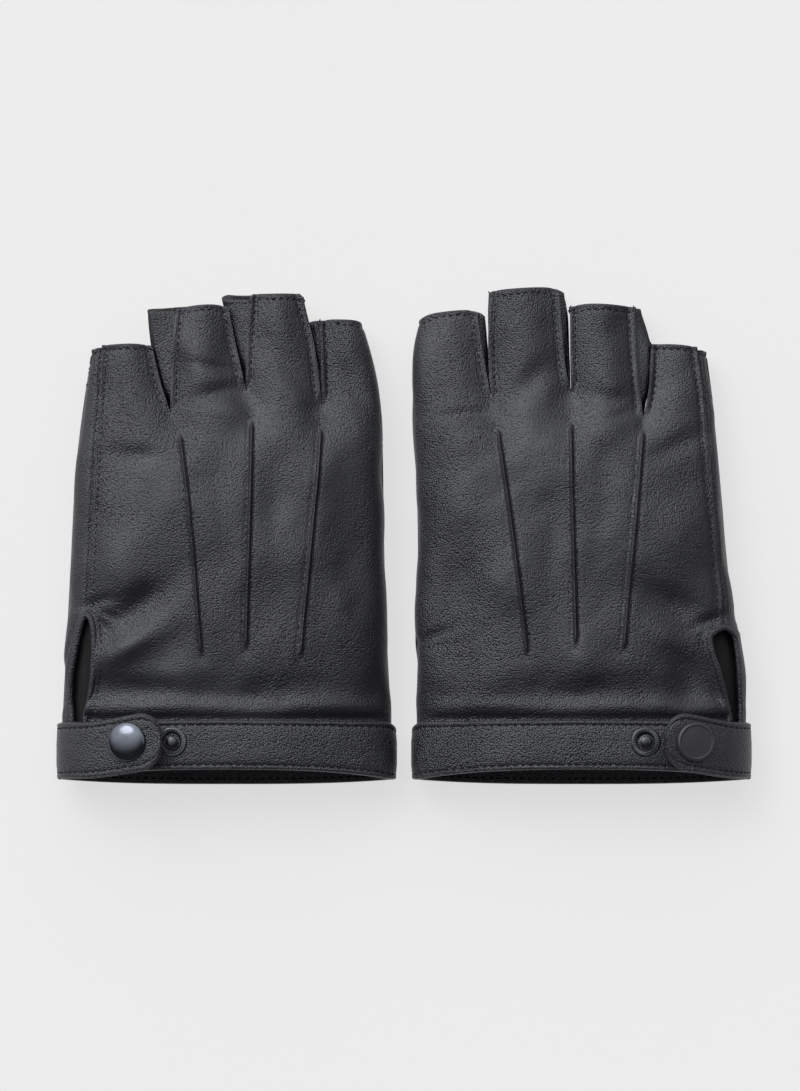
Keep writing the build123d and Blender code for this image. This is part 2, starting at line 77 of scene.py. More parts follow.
MM = 0.001
LEATHER = 0.9
BAND = 1.6
CUFF_HALF = 52.65  # half width of the leather at the cuff
CUFF_WIDEST = 9.5
CUFF_TOP = 24.0
TAB_RISE = 7.9  # the tab's arch stands this much higher than the band's
FINGERS_FROM = 128.0  # rows are shared by all fingers up to here
FINGER_ROWS = 30
BACK_HEM = 4.0
POINT_FADE = 2.2
HEM = 1.6  # from an edge of the leather to its stitches
CUFF_DROP = CUFF_WIDEST - 1.65  # from the cuff's widest level down to the underside of its leather
BAND_WIDTH = 16.2
BAND_STEP = 1.1
TAB_WIDTH = 18.0
THUMB_ROOT = (-30.0, 55.0)
THUMB_TURN = math.radians(-20.0)
THUMB_HEIGHT = 7.0
THUMB_HEM = 32.4
STUD_RIBS = 40


# Curves and small maths


def spline(points):
    """A smooth, never overshooting function through (at, value) points, level beyond its ends."""
    at, value = np.array(sorted(points), float).T
    run = np.diff(at)
    rise = np.diff(value) / run
    slope = np.empty_like(value)
    slope[0], slope[-1] = rise[0], rise[-1]
    with np.errstate(divide="ignore", invalid="ignore"):
        mean = 2 * rise[:-1] * rise[1:] / (rise[:-1] + rise[1:])
    slope[1:-1] = np.where(rise[:-1] * rise[1:] > 0, mean, 0)

    def f(x):
        x = np.clip(np.asarray(x, float), at[0], at[-1])
        i = np.clip(np.searchsorted(at, x) - 1, 0, len(run) - 1)
        t = (x - at[i]) / run[i]
        h = run[i]
        a = (1 + 2 * t) * (1 - t) ** 2 * value[i] + t * (1 - t) ** 2 * h * slope[i]
        b = t * t * (3 - 2 * t) * value[i + 1] + t * t * (t - 1) * h * slope[i + 1]
        return a + b

    return f


def joined(low, high, at):
    """One function that is low() up to a point and high() beyond it."""
    return lambda y: np.where(np.asarray(y) <= at, low(y), high(y))


def smooth(x):
    """Eases from 0 to 1 as x goes from 0 to 1."""
    x = np.clip(x, 0, 1)
    return x * x * (3 - 2 * x)


def bell(x, width):
    """A bump of height 1 at 0."""
    return np.exp(-((x / width) ** 2))


# How each glove lies


# Each gap between fingers: the line of its point up to the crotch, then from the crotch on its near and far edges on
# the back, and the same two on the palm.
GAP_PARTS = ("line", "near", "far", "near_palm", "far_palm")
RIGHT = {
    "side": 1,
    "fold": [
        (22, -52.65), (37, -52.4), (46, -53.2), (75, -52.4), (94, -52.7), (117, -54.1), (140, -53.1), (151, -51.4),
    ],
    "edge": [(22, 52.65), (36.8, 51.6), (56.4, 48.6), (75.4, 46.4), (90.5, 45.2), (118.4, 42.6), (140.5, 39.8)],
    "gaps": [
        (
            [(0, -14.0), (41.3, -17.6), (113, -26.9), (122.6, -28.7)],
            [(135, -31.0), (147, -32.8), (152, -33.4)],
            [(130, -29.5), (139.6, -29.8), (158, -29.0)],
            [(135, -29.5), (147, -30.4), (152, -31.0)],
            [(135, -28.9), (158, -28.2)],
        ),
        (
            [(0, -1.7), (44.3, -2.1), (115, -3.5), (126, -3.3)],
            [(132, -4.9), (143.4, -6.1), (158, -7.2)],
            [(135, -3.6), (153, -3.7)],
            [(136, -3.6), (148.6, -4.0), (158, -5.6)],
            [(135, -2.6), (153, -2.0)],
        ),
        (
            [(0, 10.6), (42.8, 13.2), (112.4, 19.4), (117, 19.7)],
            [(132, 17.9), (150.5, 17.1), (153, 17.0)],
            [(128.3, 21.7), (140.7, 22.4)],
            [(130, 22.3), (138, 22.8), (143, 21.8), (153, 18.8)],
            [(128, 22.9), (140.7, 24.2)],
        ),
    ],
    "seam": [(50, 45.4), (52.6, 45.5), (75.4, 43.7), (94.3, 42.2), (116.9, 40.2), (140, 37.6)],
    "vent_back": [
        (0, 48.2), (21, 47.0), (29, 45.3), (36.8, 43.2), (42.6, 41.2), (46.2, 40.6), (48.8, 41.8), (50, 45.4),
    ],
    "vent_palm": [(0, 51.0), (21, 50.9), (28, 50.7), (38, 50.2), (45, 49.4), (48.8, 48.2), (50, 45.4)],
    "vent_top": 50.0,
    "tips": [
        [(0, 148.4), (0.35, 150.8), (0.7, 151.6), (1, 150.0)],
        [(0, 157.0), (0.35, 158.2), (0.7, 158.8), (1, 157.4)],
        [(0, 151.8), (0.4, 153.4), (1, 152.2)],
        [(0, 140.6), (0.4, 140.6), (1, 139.2)],
        [(0, 139.2), (1, 138.4)],
    ],
    "points": [(41.3, 113.0), (44.3, 115.0), (42.8, 112.4)],
    "dents": [
        (33.5, 36.0, 100, 15, 6.5, 1.5), (30.0, 57.0, -25, 11, 5.0, 1.1), (-48.0, 47.0, 20, 8, 1.8, 0.6),
        (-46.0, 44.0, 12, 6, 1.2, 0.4), (-40.0, 60.0, 70, 20, 8.0, 0.9), (-17.0, 128.0, 40, 9, 4.0, 0.9),
        (9.0, 123.0, -14, 7, 2.6, 0.5), (12.0, 117.5, 18, 6, 1.5, 0.4), (-38.0, 118.0, 5, 8, 1.6, 0.5),
        (30.0, 108.0, 25, 10, 3.5, 0.8), (41.0, 52.0, 20, 6, 1.6, 0.6), (-9.0, 75.0, 88, 20, 5.0, 0.6),
        (6.0, 86.0, 85, 18, 4.0, 0.5), (10.0, 30.0, 3, 18, 5.0, 0.6),
    ],
    "swells": [
        (0.0, 40.0, 80, 10, 6.0, 0.8), (-30.0, 32.0, 60, 14, 7.0, 0.7), (8.0, 112.0, 10, 9, 5.0, 0.7),
        (30.0, 45.0, -30, 9, 3.5, 0.7), (-40.0, 100.0, 80, 20, 8.0, 0.6),
    ],
    "seed": 3,
    "cap": "flat",
}
LEFT = {
    "side": -1,
    "fold": [(22, -52.65), (45, -51.4), (73, -50.5), (114, -49.8), (125, -48.8), (136.6, -46.5), (148.6, -42.3)],
    "edge": [(22, 52.65), (43.8, 51.5), (69.4, 50.2), (98.2, 48.7), (120.6, 46.2), (141, 43.0)],
    "gaps": [
        (
            [(0, -20.0), (40.3, -23.5), (113.4, -30.1), (121.9, -30.5)],
            [(139, -30.0), (148, -29.5)],
            [(139, -28.2), (156.8, -24.0)],
            [(135, -28.3), (148, -25.9)],
            [(135, -27.1), (156.8, -22.4)],
        ),
        (
            [(0, -5.4), (43, -6.3), (115.7, -8.0), (126.6, -6.1)],
            [(139, -6.2), (156.8, -7.7)],
            [(139, -3.2), (153, -0.5)],
            [(139, -2.2), (156.8, 2.2)],
            [(139, -1.0), (153, 3.4)],
        ),
        (
            [(0, 4.6), (41, 7.9), (111.8, 15.0), (118.8, 18.0)],
            [(135, 17.6), (153, 16.2)],
            [(130, 21.6), (140.6, 24.0)],
            [(130, 22.0), (140, 24.4), (153, 25.6)],
            [(130, 22.8), (140.6, 25.6)],
        ),
    ],
    "seam": [(54.2, 44.7), (72.6, 44.0), (107.9, 42.2), (141, 40.4)],
    "vent_back": [
        (0, 45.2), (21, 45.0), (28, 43.4), (36, 42.4), (45.6, 42.1), (51, 42.7), (53.4, 43.5), (54.2, 44.7),
    ],
    "vent_palm": [
        (0, 49.2), (21, 49.4), (28, 50.0), (34.4, 49.7), (42.4, 48.3), (49, 46.9), (52.6, 45.8), (54.2, 44.7),
    ],
    "vent_top": 54.2,
    "tips": [
        [(0, 147.4), (0.3, 148.4), (0.6, 148.7), (1, 147.5)],
        [(0, 155.4), (0.2, 156.8), (0.8, 156.6), (1, 155.2)],
        [(0, 151.8), (0.4, 153.2), (1, 151.6)],
        [(0, 139.6), (0.5, 140.6), (1, 139.9)],
        [(0, 139.9), (1, 139.2)],
    ],
    "points": [(40.3, 113.4), (43.0, 115.7), (41.0, 111.8)],
    "dents": [
        (27.0, 57.0, -34, 12, 5.0, 1.9), (26.0, 30.0, 4, 18, 4.0, 0.7), (39.4, 50.6, 40, 4.5, 0.9, 0.55),
        (38.0, 53.6, 28, 4.5, 0.9, 0.5), (38.6, 47.2, 55, 4.5, 0.9, 0.4), (41.0, 58.0, -15, 6, 1.5, 0.5),
        (-15.0, 28.0, -20, 22, 6.0, 0.7), (4.0, 124.5, -15, 8, 3.0, 0.9), (3.0, 133.0, 12, 7, 1.6, 0.5),
        (-18.0, 136.0, 50, 10, 4.0, 0.8), (-40.0, 128.0, 60, 9, 4.0, 0.8), (30.0, 105.0, 5, 9, 3.0, 0.7),
        (-40.0, 78.0, 85, 26, 7.0, 0.8), (-16.0, 84.0, 88, 22, 5.0, 0.6), (2.0, 90.0, 80, 16, 4.0, 0.5),
    ],
    "swells": [
        (31.0, 43.5, -28, 12, 4.0, 1.2), (12.0, 139.0, 50, 10, 5.0, 0.7), (-2.0, 118.0, 20, 8, 4.0, 0.7),
        (-30.0, 26.0, 0, 14, 4.0, 0.5), (34.0, 70.0, 80, 16, 6.0, 0.6), (-38.0, 50.0, 50, 14, 6.0, 0.7),
    ],
    "seed": 8,
    "cap": "domed",
}
GLOVES = {"left": LEFT, "right": RIGHT}
HAND_TOP = spline([(0, 24), (22, 24), (37, 25.6), (75, 26.4), (106, 23.6), (119, 21), (140, 18.6), (158, 16.6)])
HAND_WIDEST = spline([(0, 9.5), (22, 9.5), (37, 11), (106, 11), (130, 10), (158, 8.5)])
HAND_POWER = spline([(0, 2.0), (24, 2.0), (45, 2.35), (158, 2.5)])
LOW_THUMB = spline([(0, 1.65), (22, 1.65), (37, 7.5), (106, 7.5), (119, 6.8), (148, 3.0), (158, 2.8)])
LOW_LITTLE = spline([(0, 1.65), (22, 1.65), (37, 1.0), (106, 0.8), (119, 1.2), (153, 2.0)])
VALLEY = spline([(0, 0), (100, 0), (116, 1.9), (126, 3.0), (158, 3.2)])
CORNER = 8.0


class Glove:
    """One glove's measurements, as smooth functions of y, and its place in the row frame."""

    def __init__(self, name):
        spec = GLOVES[name]
        self.name, self.spec, self.side = name, spec, spec["side"]
        low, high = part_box(f"{name}_cuff_band")
        self.origin = np.array([(low.x + high.x) / 2, low.y, 0.0])
        self.fold, self.edge = spline(spec["fold"]), spline(spec["edge"])
        self.vent_top = spec["vent_top"]
        self.seam = spline(spec["seam"])
        self.vent_back = joined(spline(spec["vent_back"]), self.seam, self.vent_top)
        self.vent_palm = joined(spline(spec["vent_palm"]), self.seam, self.vent_top)
        self.crotches, self.lines, self.side_of_gap = [], [], {}
        for i, (line, *edges) in enumerate(spec["gaps"]):
            crotch = line[-1]
            self.crotches.append(crotch[0])
            self.lines.append(spline(line))
            for key, edge in zip(GAP_PARTS[1:], edges):
                self.side_of_gap[i, key] = joined(self.lines[i], spline([crotch, *edge]), crotch[0])
        self.tips = [spline(t) for t in spec["tips"]]

    def place(self, co):
        """From the glove's own frame in millimetres to the row frame in metres."""
        co = np.array(co, float)
        co[:, 0] *= self.side
        return co * MM + self.origin

    def finish(self, obj, body, slot, *nodes):
        """The piece takes its material and slot, rides on one of this glove's bodies and stands for its CAD nodes."""
        obj.data.materials.append(MATERIALS[slot])
        if body:
            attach(obj, f"{self.name}_{body}")
        if nodes:
            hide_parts(*(f"{self.name}_{node}" for node in nodes))

    def direction(self, v):
        """A direction from the glove's own frame to the row frame."""
        v = np.array(v, float)
        v[..., 0] *= self.side
        return v

    def edges(self, group, palm):
        """The left and right edges of one of the five strips that make up the hand, as functions of y."""
        key = "_palm" if palm else ""
        left = self.fold if group == 0 else None
        right = self.edge if group == 4 else None
        if 1 <= group <= 3:
            left = self.side_of_gap[group - 1, "far" + key]
        if group <= 2:
            right = self.side_of_gap[group, "near" + key]
        if group == 3:
            right = self.vent_back if not palm else (lambda y: self.edge(y) - 5.0)
        if group == 4:
            left = self.vent_palm if not palm else (lambda y: self.edge(y) - 5.0)
        return left, right

    def arch(self, x, y):
        """Height of the back before its valleys and seams."""
        left, right = self.fold(y), self.edge(y)
        share = np.clip(np.abs(2 * x - left - right) / (right - left), 0, 1)
        power, low, top = HAND_POWER(y), HAND_WIDEST(y), HAND_TOP(y)
        return low + (top - low) * (1 - share**power) ** (1 / power)

    def back(self, x, y, group):
        """Height of the back of the glove."""
        z = self.arch(x, y)
        for i in range(3):
            key = "near" if group <= i else "far"
            distance = np.abs(x - self.side_of_gap[i, key](y))
            z = z - VALLEY(y) * bell(distance, 6.5)
        return z

    def palm(self, x, y):
        """Height of the palm."""
        low = LOW_THUMB(y) + (LOW_LITTLE(y) - LOW_THUMB(y)) * smooth((x - 4) / 16)
        widest = HAND_WIDEST(y)
        distance = np.minimum(x - self.fold(y), self.edge(y) - x)
        inside = np.clip(1 - distance / CORNER, 0, 1)
        z = widest - (widest - low) * np.sqrt(1 - inside**2)
        for i, crotch in enumerate(self.crotches):
            for key in ("near_palm", "far_palm"):
                lift = np.maximum(0, 8.5 - low) * 0.75 * smooth((y - crotch + 2) / 9)
                z = z + lift * bell(x - self.side_of_gap[i, key](y), 3.4)
        return z


# Meshes


def merged(co, faces):
    """Points that lie together become one."""
    keys = np.round(co * 1e4).astype(np.int64)
    _, first, inverse = np.unique(keys, axis=0, return_index=True, return_inverse=True)
    faces = inverse.reshape(-1)[faces]
    keep = np.array([len(set(f)) == 4 for f in faces])
    return first, faces[keep]


def normals(co, faces):
    """A unit normal at each point."""
    a, b, c, d = (co[faces[:, i]] for i in range(4))
    face = np.cross(c - a, d - b)
    out = np.zeros_like(co)
    for i in range(4):
        np.add.at(out, faces[:, i], face)
    return out / np.maximum(np.linalg.norm(out, axis=1, keepdims=True), 1e-12)


def grid_faces(rows, columns, start=0, flip=False, closed=False):
    """Quads of a grid of points. The normal is column direction cross row direction, unless flipped."""
    last = columns if closed else columns - 1
    r, c = np.meshgrid(np.arange(rows - 1), np.arange(last), indexing="ij")
    r, c = r.ravel(), c.ravel()
    after = (c + 1) % columns
    quads = np.stack([r * columns + c, r * columns + after, (r + 1) * columns + after, (r + 1) * columns + c], 1)
    return (quads[:, ::-1] if flip else quads) + start


def add_mesh(name, co, faces, glove=None, closed=True):
    """A smooth-shaded mesh object. Points given with a glove are in its own frame, and the name gets the glove's.

    Closed forms get their faces turned outwards.
    """
    faces = [list(f) for f in faces]
    if glove is not None:
        name = f"{glove.name}_{name}"
        co = glove.place(co)
        if glove.side < 0:
            faces = [f[::-1] for f in faces]
    mesh = bpy.data.meshes.new(name)
    mesh.from_pydata([tuple(p) for p in co], [], faces)
    mesh.validate()
    if closed:
        solid = bmesh.new()
        solid.from_mesh(mesh)
        bmesh.ops.recalc_face_normals(solid, faces=solid.faces)
        solid.to_mesh(mesh)
        solid.free()
    mesh.shade_smooth()
    obj = bpy.data.objects.new(name, mesh)
    bpy.context.scene.collection.objects.link(obj)
    return obj


def thicken(obj, thickness):
    """Gives a sheet its thickness, inwards."""
    solid = obj.modifiers.new("thickness", "SOLIDIFY")
    solid.thickness = thickness * MM
    solid.offset = -1.0
    solid.use_even_offset = False
    solid.use_rim = True


def gathered(parts):
    """Several (points, faces) as one."""
    start, faces = 0, []
    for co, quads in parts:
        faces += [[i + start for i in f] for f in quads]
        start += len(co)
    return np.concatenate([co for co, _ in parts]), faces


def run_length(points):
    """The distance along a path at each of its points."""
    return np.concatenate([[0], np.cumsum(np.linalg.norm(np.diff(points, axis=0), axis=1))])


def between(points, run, at):
    """Where a path is at given distances along it."""
    return np.stack([np.interp(at, run, column) for column in points.T], -1)


def directions(points):
    """The unit direction of a path at each of its points."""
    along = np.gradient(points, axis=0)
    return along / np.linalg.norm(along, axis=1, keepdims=True)


# Materials


class Nodes:
    """A material's node tree, with short calls to add to it."""

    def __init__(self, name):
        self.material = bpy.data.materials.new(name)
        self.material.use_nodes = True
        self.tree = self.material.node_tree
        self.bsdf = self.tree.nodes["Principled BSDF"]

    def add(self, kind, inputs=None, **settings):
        node = self.tree.nodes.new(kind)
        for key, value in settings.items():
            setattr(node, key, value)
        for key, value in (inputs or {}).items():
            self.set(node, key, value)
        return node

    def set(self, node, key, value):
        if isinstance(value, bpy.types.NodeSocket):
            self.tree.links.new(value, node.inputs[key])
        else:
            node.inputs[key].default_value = value

    def shade(self, **inputs):
        for key, value in inputs.items():
            self.set(self.bsdf, key.replace("_", " "), value)

    def place(self):
        return self.add("ShaderNodeTexCoord").outputs["Object"]

    def noise(self, scale, detail=3.0, where=None, roughness=0.55):
        where = where or self.place()
        inputs = {"Vector": where, "Scale": scale, "Detail": detail, "Roughness": roughness}
        return self.add("ShaderNodeTexNoise", inputs).outputs["Fac"]

    def ramp(self, value, stops):
        node = self.add("ShaderNodeValToRGB", {"Fac": value})
        ramp = node.color_ramp
        while len(ramp.elements) < len(stops):
            ramp.elements.new(0.5)
        for element, (at, shade) in zip(ramp.elements, stops):
            element.position = at
            colour = shade if isinstance(shade, (tuple, list)) else (shade,) * 3
            element.color = (*colour, 1)
        return node.outputs["Color"]

    def math(self, operation, a, b=0.0):
        node = self.add("ShaderNodeMath", {0: a, 1: b}, operation=operation)
        return node.outputs[0]

    def bump(self, height, distance, strength=1.0, normal=None):
        inputs = {"Height": height, "Distance": distance, "Strength": strength}
        if normal is not None:
            inputs["Normal"] = normal
        return self.add("ShaderNodeBump", inputs).outputs["Normal"]


def tint(colour, share):
    """A lighter or darker colour."""
    return tuple(c * share for c in colour)


def leather(name, colour, grain=1.0, rough=0.37):
    """Grained leather: pebbles about a millimetre across with fine creases between them, painted shade in those
    creases, and patches of wear.
    """
    n = Nodes(name)
    where = n.place()
    cells = n.add("ShaderNodeTexVoronoi", {"Vector": where, "Scale": 1750.0, "Randomness": 0.9}).outputs["Distance"]
    pebble = n.math("SUBTRACT", 1.0, n.math("MULTIPLY", n.math("MULTIPLY", cells, cells), 1.5))
    height = n.math("ADD", pebble, n.math("MULTIPLY", n.noise(2900.0, 1.0, where), 0.12))
    patches = n.noise(38.0, 3.0, where)
    strength = n.ramp(patches, [(0.32, 0.45), (0.68, 1.0)])
    normal = n.bump(height, 0.00021 * grain, strength)
    soft = n.bump(n.noise(130.0, 1.0, where), 0.0004, 0.5, normal)
    tone = n.ramp(n.noise(60.0, 4.0, where), [(0.3, tint(colour, 0.72)), (0.7, tint(colour, 1.28))])
    # Painted shade: the base colour is darkened in the creases between the pebbles.
    painted_crease_shade = n.ramp(pebble, [(0.3, 0.25), (0.8, 1.0)])
    shaded = n.add("ShaderNodeMix", data_type="RGBA", blend_type="MULTIPLY")
    n.set(shaded, 0, 0.7)
    n.set(shaded, 6, tone)
    n.set(shaded, 7, painted_crease_shade)
    wear = n.math("ADD", n.math("MULTIPLY", patches, 0.6), n.math("MULTIPLY", pebble, 0.3))
    roughness = n.ramp(wear, [(0.25, rough + 0.14), (0.75, rough - 0.08)])
    n.shade(Base_Color=shaded.outputs[2], Roughness=roughness, Normal=soft)
    n.bsdf.inputs["Specular IOR Level"].default_value = 0.52
    n.bsdf.inputs["Specular Tint"].default_value = (0.93, 0.95, 1.0, 1)
    return n.material


def metal(name, colour, rough, metallic=1.0):
    """Plated metal with faint handling marks."""
    n = Nodes(name)
    where = n.place()
    marks = n.noise(900.0, 6.0, where, 0.7)
    tone = n.ramp(n.noise(260.0, 3.0, where), [(0.3, tint(colour, 0.85)), (0.7, tint(colour, 1.12))])
    n.shade(
        Base_Color=tone,
        Metallic=metallic,
        Roughness=n.ramp(marks, [(0.3, max(rough - 0.06, 0.03)), (0.75, rough + 0.1)]),
        Normal=n.bump(marks, 0.00004, 0.3),
    )
    return n.material


def fabric(name, colour, scale):
    """Brushed knit: fine ribs under a soft nap, with painted shade in their hollows and painted light on their tops."""
    n = Nodes(name)
    where = n.place()
    weave = {"Vector": where, "Scale": scale, "Distortion": 2.5, "Detail": 2.0}
    ribs = n.add("ShaderNodeTexWave", weave).outputs["Fac"]
    nap = n.noise(1400.0, 4.0, where, 0.7)
    height = n.math("ADD", n.math("MULTIPLY", ribs, 0.6), nap)
    # Painted shade and light: the colour is darker in the hollows of the ribs and nap and lighter on their tops.
    tone = n.ramp(height, [(0.35, tint(colour, 0.55)), (1.0, tint(colour, 1.5))])
    n.shade(Base_Color=tone, Roughness=0.92, Normal=n.bump(height, 0.0004, 0.8))
    n.bsdf.inputs["Sheen Weight"].default_value = 0.06
    n.bsdf.inputs["Specular IOR Level"].default_value = 0.2
    return n.material


def thread(name, colour):
    """Twisted thread, with painted shade and light along its twist."""
    n = Nodes(name)
    where = n.place()
    twist = n.noise(5200.0, 2.0, where)
    # Painted shade and light: the colour follows the twist's bump, darker where it sinks and lighter where it rises.
    tone = n.ramp(twist, [(0.3, tint(colour, 0.6)), (0.7, tint(colour, 1.5))])
    n.shade(Base_Color=tone, Roughness=0.7, Normal=n.bump(twist, 0.0001, 0.8))
    n.bsdf.inputs["Specular IOR Level"].default_value = 0.15
    return n.material


MATERIALS = {
    "trank_leather": leather("trank_leather", (0.0088, 0.0090, 0.0128)),
    "fourchette_leather": leather("fourchette_leather", (0.0084, 0.0086, 0.0122)),
    # The band's leather is lighter than the trank's: painted light, standing in for the stronger highlights its grain
    # catches.
    "band_leather": leather("band_leather", (0.0125, 0.0129, 0.0172), 1.3, 0.33),
    # The lining's dark brown is made darker still, so the vent and cuff openings read dark: its own colour with painted
    # shade.
    "lining_fabric": fabric("lining_fabric", (0.0055, 0.0043, 0.0047), 1300.0),
    "thread": thread("thread", (0.006, 0.006, 0.0072)),
    "stud_metal": metal("stud_metal", (0.06, 0.062, 0.068), 0.3),
    "spring_metal": metal("spring_metal", (0.5, 0.5, 0.5), 0.3),
    "cap_left": metal("cap_left", (0.095, 0.105, 0.125), 0.17),
    "cap_right": metal("cap_right", (0.02, 0.02, 0.024), 0.42, 0.15),
}


# The hand


def unevenly(columns):
    """Shares from 0 to 1, closer together towards both ends."""
    return (1 - np.cos(np.pi * np.linspace(0, 1, columns + 1))) / 2


def rows_to_tip(shared, tip, count):
    """y at each point of a strip: rows shared by all fingers, then rows that close in on the tip's own line."""
    beyond = np.linspace(0, 1, count + 1)[1:]
    own = FINGERS_FROM + beyond[:, None] * (tip - FINGERS_FROM)[None, :]
    return np.concatenate([np.repeat(shared[:, None], len(tip), 1), own])


def hand_sheet(glove, group, palm, columns):
    """Points and quads of one strip of the back or the palm, with the strip's measurements at each point."""
    left, right = glove.edges(group, palm)
    tip = glove.tips[group](np.linspace(0, 1, columns + 1))
    y = rows_to_tip(np.arange(BACK_HEM, FINGERS_FROM + 0.5), tip, FINGER_ROWS)
    x_left, x_right = left(y), right(y)
    x = x_left + (x_right - x_left) * unevenly(columns)[None, :]
    z = glove.palm(x, y) if palm else glove.back(x, y, group)
    shape = x.shape
    info = {
        "x": x.ravel(),
        "y": y.ravel(),
        "to_left": (x - x_left).ravel(),
        "to_right": (x_right - x).ravel(),
        "to_tip": (tip[None, :] - y).ravel(),
        "group": np.full(x.size, group),
        "palm": np.full(x.size, palm),
    }
    return np.stack([x.ravel(), y.ravel(), z.ravel()], 1), grid_faces(*shape, flip=palm), info


def waves(x, y, seed, shortest, longest, count=14):
    """Gentle, seeded undulation."""
    random = np.random.default_rng(seed)
    total = np.zeros_like(x)
    for _ in range(count):
        length = random.uniform(shortest, longest)
        angle, phase = random.uniform(0, math.pi), random.uniform(0, 2 * math.pi)
        total += np.sin(2 * math.pi / length * (x * math.cos(angle) + y * math.sin(angle)) + phase) * length / longest
    return total / math.sqrt(count)


def marks(x, y, spots):
    """The sum of stretched soft spots, each (x, y, turn, half length, half width, height)."""
    total = np.zeros_like(x)
    for cx, cy, turn, length, width, height in spots:
        c, s = math.cos(math.radians(turn)), math.sin(math.radians(turn))
        u, v = (x - cx) * c + (y - cy) * s, -(x - cx) * s + (y - cy) * c
        total += height * np.exp(-((u / length) ** 2) - (v / width) ** 2)
    return total


def back_relief(glove, info):
    """How far each point of the back stands off its smooth form: seams, points, folds and dents."""
    spec = glove.spec
    x, y, group = info["x"], info["y"], info["group"]
    relief = waves(x, y, spec["seed"], 16, 42) * 0.62 + waves(x, y, spec["seed"] + 50, 6, 13) * 0.09
    relief = relief - marks(x, y, spec["dents"]) * 1.65 + marks(x, y, spec["swells"]) * 1.6
    relief *= smooth((y - 20) / 8)
    for i, (low, high) in enumerate(spec["points"]):
        off = x - glove.lines[i](y)
        along = smooth((y - low) / POINT_FADE) * smooth((high - y) / POINT_FADE)
        ridge = bell(off, 0.58) - 0.38 * bell(off - 1.15, 0.35) - 0.22 * bell(off + 1.2, 0.4)
        relief += along * ridge
        relief -= 0.35 * bell(off, 1.6) * (bell(y - low + 1.0, 1.6) + bell(y - high - 1.0, 1.6))
    for i in range(3):
        past = smooth((y - glove.crotches[i] - 0.5) / 2.5)
        inside = np.where(group == i, info["to_right"], np.where(group == i + 1, info["to_left"], 99.0))
        relief += past * (0.5 * smooth((1.9 - inside) / 1.0) - 0.5 * bell(inside - 1.75, 0.45))
        near = np.hypot(x - glove.lines[i](glove.crotches[i]), (y - glove.crotches[i]) * 0.8)
        relief -= 0.5 * bell(near, 2.2)
    relief -= 0.36 * bell(info["to_tip"] - 1.6, 0.45)
    off = x - glove.seam(y)
    above = smooth((y - glove.vent_top - 0.5) / 2)
    seam = 0.8 * bell(off + 1.0, 0.6) - 1.5 * bell(off - 0.2, 0.5) - 0.45 * bell(off + 2.1, 0.4)
    relief += above * (seam - 0.4 * smooth(off / 1.5))
    roll = bell(y - 24.4, 2.6) * 1.1 - bell(y - 20.6, 0.8) * 0.9
    inboard = smooth((x - glove.fold(y)) / 9) * smooth((glove.edge(y) - x) / 9)
    relief += roll * inboard
    aside = np.where(group == 3, info["to_right"], np.where(group == 4, info["to_left"], 99.0))
    beside = 0.45 * smooth((2.2 - aside) / 0.9) - 0.5 * bell(aside - 2.3, 0.45)
    relief += beside * smooth((y - 20) / 3) * smooth((glove.vent_top + 0.5 - y) / 2.5)
    return relief


def palm_relief(glove, info):
    """The palm's own soft undulation, none of it downwards where it rests."""
    x, y = info["x"], info["y"]
    calm = smooth((y - 24) / 10) * smooth((x - glove.fold(y)) / 8) * smooth((glove.edge(y) - x) / 8)
    relief = -np.abs(waves(x, y, glove.spec["seed"] + 9, 14, 34)) * 0.7 * calm
    return relief - 0.36 * bell(info["to_tip"] - 1.6, 0.45)


def build_trank(glove):
    """The leather of back, palm and forefinger fold, as one sheet with thickness."""
    parts = [hand_sheet(glove, group, palm, 10 if group == 4 else 28) for palm in (False, True) for group in range(5)]
    co, faces = gathered([part[:2] for part in parts])
    first, faces = merged(co, np.array(faces))
    co = co[first]
    info = {key: np.concatenate([part[2][key] for part in parts])[first] for key in parts[0][2]}
    from_thumb = np.hypot(co[:, 0] - THUMB_ROOT[0], co[:, 1] - THUMB_ROOT[1])
    hole = info["palm"][faces].all(1) & (from_thumb[faces].mean(1) < 11.4)
    faces = faces[~hole]
    out = normals(co, faces)
    relief = np.where(info["palm"], palm_relief(glove, info), back_relief(glove, info))
    co = co + out * relief[:, None]
    obj = add_mesh("trank", co, faces, glove, closed=False)
    thicken(obj, LEATHER)
    glove.finish(obj, "glove", "trank_leather", "shell")
    return obj


def wall_section(xb, zb, xp, zp, out, settle, bulge):
    """Across a side wall, from under the back's edge to above the palm's edge."""
    lip = 1.25 * settle * out
    rows = [(xb - 0.12 * out * settle, zb - 0.95), (xb - lip, zb - 1.2)]
    for share in (0.06, 0.18, 0.32, 0.46, 0.6, 0.74, 0.88):
        x = (xb - lip) + (xp - xb) * share + out * bulge * math.sin(math.pi * share)
        rows.append((x, zb - 1.5 + (zp + 1.3 - zb + 1.5) * share))
    rows += [(xp - lip, zp + 1.15), (xp - 0.12 * out * settle, zp + 0.95)]
    return rows


